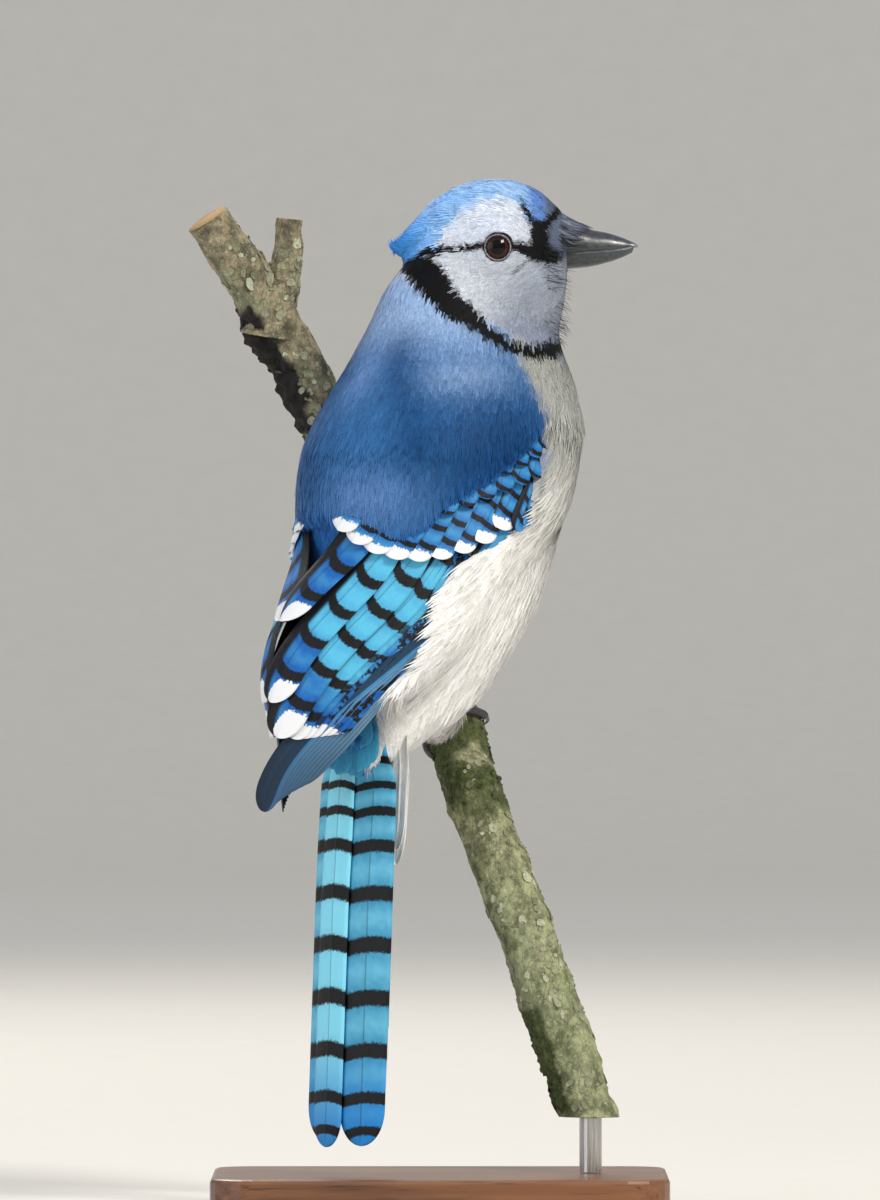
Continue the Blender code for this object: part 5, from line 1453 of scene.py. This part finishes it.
def makeEyes(eyeMaterial, lidMaterial):
    for side, word in ((right, "Right"), (left, "Left")):
        middle = np.array((eyeSpot["x"], headY + side * eyeSpot["out"], eyeSpot["z"]))
        tilt = np.linspace(0.0, math.pi, 40)[1:-1, None]
        turns = np.linspace(0, 2 * math.pi, 64, endpoint=False)
        radius = eyeSpot["radius"] * (1 + 0.035 * hump(tilt, 0.0, 0.34))
        rings = middle + np.stack((
            radius * np.sin(tilt) * np.cos(turns), radius * side * np.cos(tilt) + 0 * turns,
            radius * np.sin(tilt) * np.sin(turns)), -1)
        pile = Pile()
        pile.add(*tubeMesh(rings))
        finished(outward(pile.build(f"eye{word}", eyeMaterial)), "eye_brown", f"eye_{word.lower()}")
        pile = Pile()
        steps = np.linspace(0, 2 * math.pi, 144, endpoint=False)
        out = math.sqrt((eyeSpot["radius"] + 0.0002) ** 2 - eyeSpot["lid"] ** 2)
        cut = np.radians(np.linspace(0, 360, 12, endpoint=False))
        rings = []
        for turn in steps:
            away = np.array((math.cos(turn), 0, math.sin(turn)))
            hood = 0.00030 * max(math.sin(turn), 0) ** 2
            bead = 1 + 0.16 * abs(math.sin(18 * turn))
            thick = eyeSpot["lidThick"] * bead * (1 + 0.35 * max(math.sin(turn), 0))
            outer = np.array((0, side, 0))
            centre = middle + away * (eyeSpot["lid"] - hood) + outer * (out + 0.00005 + hood * 0.5)
            rings.append(centre + thick * (np.cos(cut)[:, None] * away + np.sin(cut)[:, None] * outer))
        rings = np.array(rings)
        points = rings.reshape(-1, 3)
        faces = gridFaces(144, 12, closed=True)
        last = 143 * 12
        faces += [(last + k, last + (k + 1) % 12, (k + 1) % 12, k) for k in range(12)]
        pile.add(points, faces)
        finished(outward(pile.build(f"lids{word}", lidMaterial)), "plumage_white")


def eyeLinks(tree):
    off, turn = fromEye(tree)
    ray = lay(tree, "ShaderNodeCombineXYZ", {
        0: calc(tree, "MULTIPLY", turn, 6.0), 1: calc(tree, "MULTIPLY", off, 500.0)})
    fibre = grain(tree, ray, 4.0, 4.0, 0.7)
    iris = tinted(tree, stepped(tree, fibre, 0.3, 0.7), paint("#1c0a07"), paint("#4c2217"))
    iris = tinted(tree, stepped(tree, off, 0.0026, 0.0037, 0.0, 0.85), iris, paint("#120808"))
    iris = tinted(tree, stepped(tree, off, 0.00212, 0.00230, 1.0, 0.0), iris, paint("#020203"))
    return {"Base Color": iris, "Roughness": stepped(tree, fibre, 0.2, 0.8, 0.10, 0.16)}


def lidLinks(tree):
    place = objectPlace(tree)
    off, _ = fromEye(tree)
    fine = grain(tree, place, 2400.0, 3.0)
    inner = stepped(tree, off, eyeSpot["lid"] - 0.00022, eyeSpot["lid"] - 0.00005)
    outer = stepped(tree, off, eyeSpot["lid"] + 0.00012, eyeSpot["lid"] + 0.00032, 1.0, 0.0)
    base = tinted(tree, calc(tree, "MULTIPLY", inner, outer), paint("#0d0d10"), paint("#878d96"))
    base = tinted(tree, stepped(tree, fine, 0.44, 0.58, 0.0, 0.85), base, paint("#1c1e23"))
    return {"Base Color": base, "Roughness": stepped(tree, fine, 0.2, 0.8, 0.45, 0.65),
            "Normal": bumped(tree, fine, 0.4, 0.0002)}


# Feet
footLook = {
    "heights": {left: 0.1500, right: 0.1370}, "belly": (-0.0090, -0.0068, 0.1450),
    "toe": 0.00115, "tarsus": 0.0013, "gap": 0.0003,
    "toes": ((148, -0.0046, 0.92), (168, 0.0, 1.0), (140, 0.0048, 0.92), (-128, 0.0006, 1.05)),
}
toeShape = (  # share of the reach, rise off the bark in toe radii, thickness
    (0.0, 0.0, 1.15), (0.2, 0.0, 1.0), (0.4, 0.1, 1.08), (0.6, 0.0, 0.95), (0.72, 0.1, 1.02),
    (0.80, 0.35, 0.62), (0.91, 0.55, 0.42), (1.0, -0.2, 0.10),
)
perchRows = (
    (-0.0670, 0.0340, 0.2830, 0.0064), (-0.0507, 0.0400, 0.2588, 0.0070),
    (-0.0342, 0.0475, 0.2289, 0.0073), (-0.0251, 0.0515, 0.2075, 0.0074),
    (-0.0157, 0.0505, 0.1847, 0.0075), (-0.0057, 0.0430, 0.1619, 0.0075),
    (0.0029, 0.0310, 0.1406, 0.0075), (0.0100, 0.0180, 0.1163, 0.0078),
    (0.0222, 0.0080, 0.0850, 0.0080), (0.0331, 0.0020, 0.0536, 0.0079),
    (0.0440, 0.0000, 0.0220, 0.0078),
)
twigRows = (
    (-0.0472, 0.0400, 0.2490, 0.0064), (-0.0462, 0.0395, 0.2560, 0.0050),
    (-0.0447, 0.0390, 0.2640, 0.0045), (-0.0438, 0.0385, 0.2720, 0.0042),
    (-0.0428, 0.0380, 0.2830, 0.0040),
)


def pathThrough(rows, steps):
    numbered = [(k, *row) for k, row in enumerate(rows)]
    made = rowsAt(numbered, np.linspace(0, len(rows) - 1, steps))
    return made[:3].T, made[3]


def roundBranch(height, angle, off, along):
    points, radii = pathThrough(perchRows, 201)
    low = 1 + int(np.argmin(np.abs(points[1:-1, 2] - height)))
    axis = unit(points[low + 1] - points[low - 1])
    middle = points[low] + axis * along
    toBird = np.array(footLook["belly"]) - middle
    near = unit(toBird - axis * toBird.dot(axis))
    beside = np.cross(axis, near)
    turn = math.radians(angle)
    return middle + (near * math.cos(turn) + beside * math.sin(turn)) * (radii[low] + off)


def makeFeet(scaleMaterial, clawMaterial):
    for side, word in ((right, "Right"), (left, "Left")):
        height = footLook["heights"][side]
        foot, claws = Pile(), Pile()
        base = footLook["toe"] + footLook["gap"] + 0.00025
        for reach, fan, thick in footLook["toes"]:
            share = np.linspace(0, 1, 64)
            rise, width = rowsAt(toeShape, share)
            path = np.array([
                roundBranch(height, reach * s, base + footLook["toe"] * r, fan * min(s * 2, 1))
                for s, r in zip(share, rise)
            ])
            radii = footLook["toe"] * thick * width
            ridged = radii * (1 + 0.07 * np.abs(np.sin(share * 44)))
            soft = share <= 0.80
            horn = share >= 0.76
            foot.add(*tubeMesh(sweep(path[soft], ridged[soft], 14)))
            claws.add(*tubeMesh(sweep(path[horn], 0.92 * radii[horn], 12)))
        ankle = roundBranch(height, 0, footLook["toe"] + footLook["gap"] + 0.0007, 0)
        hock = torsoPlace(*thighs[side]) - up * 0.004
        share = np.linspace(0, 1, 60)[:, None]
        path = ankle + (hock - ankle) * share
        radii = footLook["tarsus"] * rowsAt(((0, 1.25), (0.12, 1.0), (0.5, 0.95), (1, 1.2)), share[:, 0])[0]
        radii = radii * (1 + 0.06 * np.abs(np.sin(share[:, 0] * 30)))
        foot.add(*tubeMesh(sweep(path, radii, 16)))
        finished(outward(foot.build(f"foot{word}", scaleMaterial)), "foot_black", f"foot_{word.lower()}")
        finished(outward(claws.build(f"claws{word}", clawMaterial)), "foot_black")


def footLinks(tree):
    place = objectPlace(tree)
    scales = lay(tree, "ShaderNodeTexVoronoi", {"Vector": place, "Scale": 1500.0}, 0)
    fine = grain(tree, place, 1800.0, 3.0)
    base = tinted(tree, stepped(tree, scales, 0.0, 0.6), paint("#15161a"), paint("#34363c"))
    base = tinted(tree, stepped(tree, fine, 0.5, 0.75, 0.0, 0.5), base, paint("#55575c"))
    return {"Base Color": base, "Roughness": stepped(tree, fine, 0.2, 0.8, 0.42, 0.62),
            "Normal": bumped(tree, scales, 0.5, 0.0003)}


def clawLinks(tree):
    place = objectPlace(tree)
    fine = grain(tree, place, 1600.0, 3.0)
    base = tinted(tree, stepped(tree, fine, 0.3, 0.7), paint("#0c0c0e"), paint("#26272b"))
    return {"Base Color": base, "Roughness": stepped(tree, fine, 0.2, 0.8, 0.22, 0.36)}


# The branch
barkLook = {
    "sides": 96, "steps": 420, "cutHeight": 0.0260, "lumps": 0.00085, "ridges": 0.00050, "grit": 0.00022,
    "flakes": 1500, "area": 0.0145,
}
knots = (  # place, reach, how far it stands out
    ((0.0215, -0.0010, 0.1165), 0.0056, 0.0060), ((0.0050, 0.0120, 0.1255), 0.0080, 0.0024),
    ((0.0165, 0.0060, 0.1240), 0.0055, 0.0022), ((-0.0515, 0.0400, 0.2480), 0.0085, 0.0012),
    ((0.0322, -0.0065, 0.0600), 0.0035, 0.0018), ((0.0120, 0.0050, 0.1050), 0.0040, 0.0014),
)


def charShare(points, away):  # the black torn strip along the lower edge of the upper branch
    under = away @ unit(np.array((-0.88, -0.25, -0.40)))
    z = points[..., 2]
    ragged = speckle(points.reshape(-1, 3), 230).reshape(z.shape)
    return (
        ramp(under + 0.30 * ragged, 0.42, 0.60)
        * ramp(z + 0.003 * ragged, 0.2190, 0.2230) * (1 - ramp(z + 0.003 * ragged, 0.2560, 0.2590))
    )


def mossShare(points):
    x, z = points[..., 0], points[..., 2]
    ragged = speckle(points.reshape(-1, 3), 160).reshape(z.shape)
    upper = ramp(z + 0.008 * ragged, 0.103, 0.122) * (1 - ramp(z, 0.150, 0.170)) * ramp(ragged, -0.45, -0.05)
    lower = hump(z, 0.040, 0.020) * ramp(0.047 - 0.25 * (z - 0.02) - x, 0.004, 0.012)
    lower = ramp(0.35 * ragged + lower, 0.40, 0.60)
    return np.clip(np.maximum(upper, lower), 0, 1)


def roughBark(rings, seed):
    middles = rings.mean(1, keepdims=True)
    away = unit(rings - middles)
    flat = rings.reshape(-1, 3)
    rows = np.arange(rings.shape[0]).repeat(rings.shape[1])
    turns = np.tile(np.linspace(0, 2 * math.pi, rings.shape[1], endpoint=False), rings.shape[0])
    ridge = np.array([
        noise.fractal(Vector((math.cos(t) * 2.2 + seed, math.sin(t) * 2.2, r * 0.014)), 1.0, 2.0, 4)
        for r, t in zip(rows, turns)
    ])
    lumps = np.array([noise.fractal(Vector(p) * 105, 0.8, 2.1, 4) for p in flat])
    grit = speckle(flat, 1500)
    char = charShare(rings, away).ravel()
    moss = mossShare(rings).ravel()
    lift = barkLook["lumps"] * lumps + barkLook["ridges"] * ridge + barkLook["grit"] * grit
    lift = lift + char * (0.0009 + 0.0022 * speckle(flat, 330))
    lift = lift + moss * (0.0003 + 0.0008 * speckle(flat, 700))
    for place, reach, high in knots:
        gap = np.linalg.norm(flat - np.array(place), axis=1) / reach
        lift = lift + high * np.exp(-(gap**2) * 1.6) * (1 + 0.8 * lumps + 0.4 * grit)
    shaped = rings + away * lift.reshape(rings.shape[:2])[..., None]
    return shaped, np.append(char, (0, 0)), np.append(moss, (0, 0))


def makePerch(barkMaterial, cutMaterial):
    pile = Pile()
    path, radii = pathThrough(perchRows, barkLook["steps"])
    shaped, char, moss = roughBark(sweep(path, radii, barkLook["sides"]), 0.0)
    pile.add(*tubeMesh(shaped), char=char, moss=moss)
    path, radii = pathThrough(twigRows, 110)
    shaped, char, moss = roughBark(sweep(path, radii, 56), 9.0)
    pile.add(*tubeMesh(shaped), char=0 * char, moss=moss)
    branch = outward(pile.build("branchBark", barkMaterial, cutMaterial))
    shaped = bmesh.new()
    shaped.from_mesh(branch.data)
    low = (0, 0, barkLook["cutHeight"])
    bmesh.ops.bisect_plane(
        shaped, geom=shaped.verts[:] + shaped.edges[:] + shaped.faces[:], plane_co=low,
        plane_no=(0, 0, 1), clear_inner=True,
    )
    rim = [e for e in shaped.edges if e.is_boundary]
    bmesh.ops.contextual_create(shaped, geom=rim)
    ends = [np.array(perchRows[0][:3]), np.array(twigRows[-1][:3])]
    for face in shaped.faces:
        middle = np.array(face.calc_center_median())
        fan = len(face.verts) == 3 and min(np.linalg.norm(middle - e) for e in ends) < 0.0062
        face.material_index = 1 if fan or len(face.verts) > 8 else 0
    shaped.to_mesh(branch.data)
    shaped.free()
    return finished(branch, "bark", "perch")


def makeBarkFlakes(branch, flakeMaterial):  # lichen and curled bits of bark, set by the node tree
    kinds = bpy.data.collections.new("flakes")
    for seed in range(4):
        rng = np.random.default_rng(60 + seed)
        pile = Pile()
        cells = np.linspace(-0.5, 0.5, 4)
        x, y = np.meshgrid(cells, cells)
        x = x + rng.normal(0, 0.07, x.shape)
        y = y + rng.normal(0, 0.07, y.shape)
        corner = np.abs(x * y) > 0.14
        z = 0.10 + 0.9 * (x**2 + y**2) * rng.uniform(0.4, 1.0) + rng.normal(0, 0.05, x.shape)
        x, y = np.where(corner, x * 0.72, x), np.where(corner, y * 0.72, y)
        top = np.stack((x, y, z), -1).reshape(-1, 3)
        under = top * (0.96, 0.96, 1.0) - (0, 0, 0.16)
        rim = [0, 1, 2, 3, 7, 11, 15, 14, 13, 12, 8, 4]
        faces = gridFaces(4, 4) + gridFaces(4, 4, 16, flip=True)
        faces += [(b, a, a + 16, b + 16) for a, b in zip(rim, rim[1:] + rim[:1])]
        pile.add(np.concatenate((top, under)), faces)
        flake = outward(pile.build(f"flake{seed}", smooth=False))
        bpy.context.scene.collection.objects.unlink(flake)
        kinds.objects.link(flake)
    dense = barkLook["flakes"] / barkLook["area"]
    roots, normals, rng = scatter(branch.data, lambda p: np.full(len(p), dense), 23)
    ends = [np.array(perchRows[0][:3]), np.array(twigRows[-1][:3])]
    keep = roots[:, 2] > barkLook["cutHeight"] + 0.0015
    for end in ends:
        keep &= np.linalg.norm(roots - end, axis=1) > 0.0075
    patch = speckle(roots, 85)
    keep &= patch + rng.normal(0, 0.12, len(roots)) > -0.05
    roots, normals, patch = roots[keep], normals[keep], patch[keep]
    count = len(roots)
    way = unit(rng.normal(size=(count, 3)) + (0, 0, 1.2))
    way = unit(way - normals * (way * normals).sum(1)[:, None])
    wide = rng.uniform(0.0008, 0.0027, count)
    size = np.stack((wide * rng.uniform(0.6, 1.1, count), wide * rng.uniform(0.9, 1.6, count),
                     rng.uniform(0.0005, 0.0011, count)), -1)
    moss = mossShare(roots)
    char = charShare(roots, normals)
    tint = mix(colour("#a7a98b"), colour("#77795c"), rng.uniform(size=(count, 1)))
    tint = mix(tint, colour("#c3c6ab"), (rng.uniform(size=count) < 0.25)[:, None] * 0.8)
    tint = mix(tint, colour("#36401a"), moss[:, None])
    tint = mix(tint, colour("#0d0c0a"), char[:, None])
    tree = scatterTree("barkFlakes", False)
    flakes = growFrom("barkFlakes", tree, kinds, roots, way, normals, size, tint, np.zeros((count, 2)),
                      flakeMaterial, 19)
    return finished(flakes, "bark")


def flakeLinks(tree):
    place = objectPlace(tree)
    fine = grain(tree, place, 1300.0, 4.0, 0.7)
    shade = stepped(tree, fine, 0.3, 0.7, 0.62, 1.15)
    toned = shaded(tree, stored(tree, "tint", 0), shade)
    return {"Base Color": toned, "Roughness": stepped(tree, fine, 0.2, 0.8, 0.75, 0.95),
            "Normal": bumped(tree, fine, 0.6, 0.0004)}


def barkLinks(tree):
    place = objectPlace(tree)
    big = grain(tree, place, 45.0, 4.0, 0.6)
    patchy = grain(tree, place, 190.0, 5.0, 0.65)
    fine = grain(tree, place, 900.0, 4.0, 0.7)
    cracks = lay(tree, "ShaderNodeTexVoronoi", {
        "Vector": stretched(tree, place, 1.0, 1.0, 0.45), "Scale": 420.0}, 0, feature="DISTANCE_TO_EDGE")
    _, _, z = parts(tree, place)
    green = stepped(tree, z, 0.06, 0.20, 1.0, 0.0)
    low = tinted(tree, stepped(tree, patchy, 0.35, 0.65), paint("#5d6344"), paint("#a3aa80"))
    high = tinted(tree, stepped(tree, patchy, 0.35, 0.65), paint("#58533f"), paint("#a29678"))
    base = tinted(tree, green, high, low)
    base = tinted(tree, stepped(tree, big, 0.50, 0.62, 0.0, 0.6), base, paint("#8a8f6e"))
    base = tinted(tree, stepped(tree, fine, 0.55, 0.72, 0.0, 0.8), base, paint("#c6c6a8"))
    base = tinted(tree, stepped(tree, fine, 0.30, 0.42, 0.75, 0.0), base, paint("#38341f"))
    mossy = tinted(tree, stepped(tree, fine, 0.35, 0.65), paint("#1c2410"), paint("#4a5a22"))
    base = tinted(tree, calc(tree, "MULTIPLY", stored(tree, "moss", 2), 0.92), base, mossy)
    charred = tinted(tree, stepped(tree, fine, 0.5, 0.8), paint("#0b0a09"), paint("#2c2721"))
    base = tinted(tree, stored(tree, "char", 2), base, charred)
    base = tinted(tree, stepped(tree, cracks, 0.0, 0.05, 0.45, 0.0), base, paint("#2b271c"))
    height = calc(tree, "ADD", calc(tree, "MULTIPLY", fine, 0.6), calc(tree, "MULTIPLY", cracks, 1.2))
    return {"Base Color": base, "Roughness": stepped(tree, fine, 0.2, 0.8, 0.78, 0.95),
            "Normal": bumped(tree, height, 0.6, 0.0006)}


def cutLinks(tree):
    place = objectPlace(tree)
    wave = lay(tree, "ShaderNodeTexWave", {
        "Vector": stretched(tree, place, 1.0, 1.0, 0.2), "Scale": 900.0, "Distortion": 2.5, "Detail": 3.0},
        1, wave_type="RINGS")
    fine = grain(tree, place, 1500.0, 3.0)
    base = tinted(tree, wave, paint("#c8a878"), paint("#a07a4c"))
    base = tinted(tree, stepped(tree, fine, 0.5, 0.8, 0.0, 0.5), base, paint("#7a5a38"))
    return {"Base Color": base, "Roughness": stepped(tree, fine, 0.2, 0.8, 0.7, 0.85),
            "Normal": bumped(tree, fine, 0.4, 0.0003)}


# The stand keeps its solids and takes a better finish
def woodLinks(tree):
    place = objectPlace(tree)
    bend = grain(tree, stretched(tree, place, 0.15, 1.0, 1.0), 60.0, 4.0)
    streak = grain(tree, stretched(tree, place, 0.05, 1.0, 1.0), 420.0, 6.0, 0.65)
    pores = grain(tree, stretched(tree, place, 0.03, 1.0, 1.0), 1500.0, 3.0)
    base = tinted(tree, stepped(tree, bend, 0.35, 0.65), paint("#4a2c1a"), paint("#7a4c2c"))
    base = tinted(tree, stepped(tree, streak, 0.4, 0.7, 0.0, 0.7), base, paint("#8c5c36"))
    base = tinted(tree, stepped(tree, pores, 0.30, 0.42, 0.7, 0.0), base, paint("#2a170c"))
    return {"Base Color": base, "Roughness": stepped(tree, streak, 0.2, 0.8, 0.30, 0.46),
            "Normal": bumped(tree, pores, 0.25, 0.0002)}


def steelLinks(tree):
    place = objectPlace(tree)
    brushed = grain(tree, stretched(tree, place, 1.0, 1.0, 0.04), 2600.0, 3.0)
    base = tinted(tree, stepped(tree, brushed, 0.3, 0.7), paint("#a8a6a2"), paint("#d2d0cc"))
    return {"Base Color": base, "Roughness": stepped(tree, brushed, 0.2, 0.8, 0.24, 0.42),
            "Normal": bumped(tree, brushed, 0.15, 0.0001)}


def finishStand():
    for node, made in (
        ("stand_base", material("waxedWalnut", woodLinks, Coat_Weight=0.25, Coat_Roughness=0.2)),
        ("stand_rod", material("brushedSteel", steelLinks, Metallic=1.0)),
    ):
        obj = frame["nodes"][node]
        if not obj.material_slots:
            obj.data.materials.append(made)
        for place in obj.material_slots:
            place.material = made
    print("stand finished")


makeStudio()
shadeGroup = makeShadeGroup()
eyeGroup = makeEyeGroup()
coatMaterial = material("softPlumage", coatLinks,
                        Sheen_Weight=0.02, Sheen_Roughness=0.5, Specular_IOR_Level=0.10)
skin = makeSkin(coatMaterial)
skinColours(skin)
finished(skin, "plumage_white", "head", "neck", "torso", "rump", "thigh_right", "thigh_left")
treeOfCoat = scatterTree("coat", True)
makeCoat(skin, treeOfCoat, coatMaterial)
pattern = featherGroup()
wingMaterial = featherMaterial("wingFeather", pattern)
tailMaterial = featherMaterial("tailFeather", pattern, **{
    "Deep": paint("#1282b2"), "Sky": paint("#8ae2fb"), "Bar Width": 0.155, "Inner Dark": 0.0,
    "Tip Shade": 0.9})
makeWing(right, wingMaterial)
makeWing(left, wingMaterial)
makeTail(tailMaterial)
makeTailCoverts(material("softVane", softVaneLinks))
makeBill(material("billHorn", hornLinks, Coat_Weight=0.3, Coat_Roughness=0.15))
makeBristles(material("bristle", hairLinks))
eyeMaterial = material("eye", eyeLinks,
                       Coat_Weight=1.0, Coat_Roughness=0.03, Coat_IOR=1.22, Specular_IOR_Level=0.1)
makeEyes(eyeMaterial, material("eyelid", lidLinks))
makeFeet(material("footScale", footLinks), material("claw", clawLinks))
branch = makePerch(material("bark", barkLinks), material("cutWood", cutLinks))
makeBarkFlakes(branch, material("lichen", flakeLinks))
finishStand()
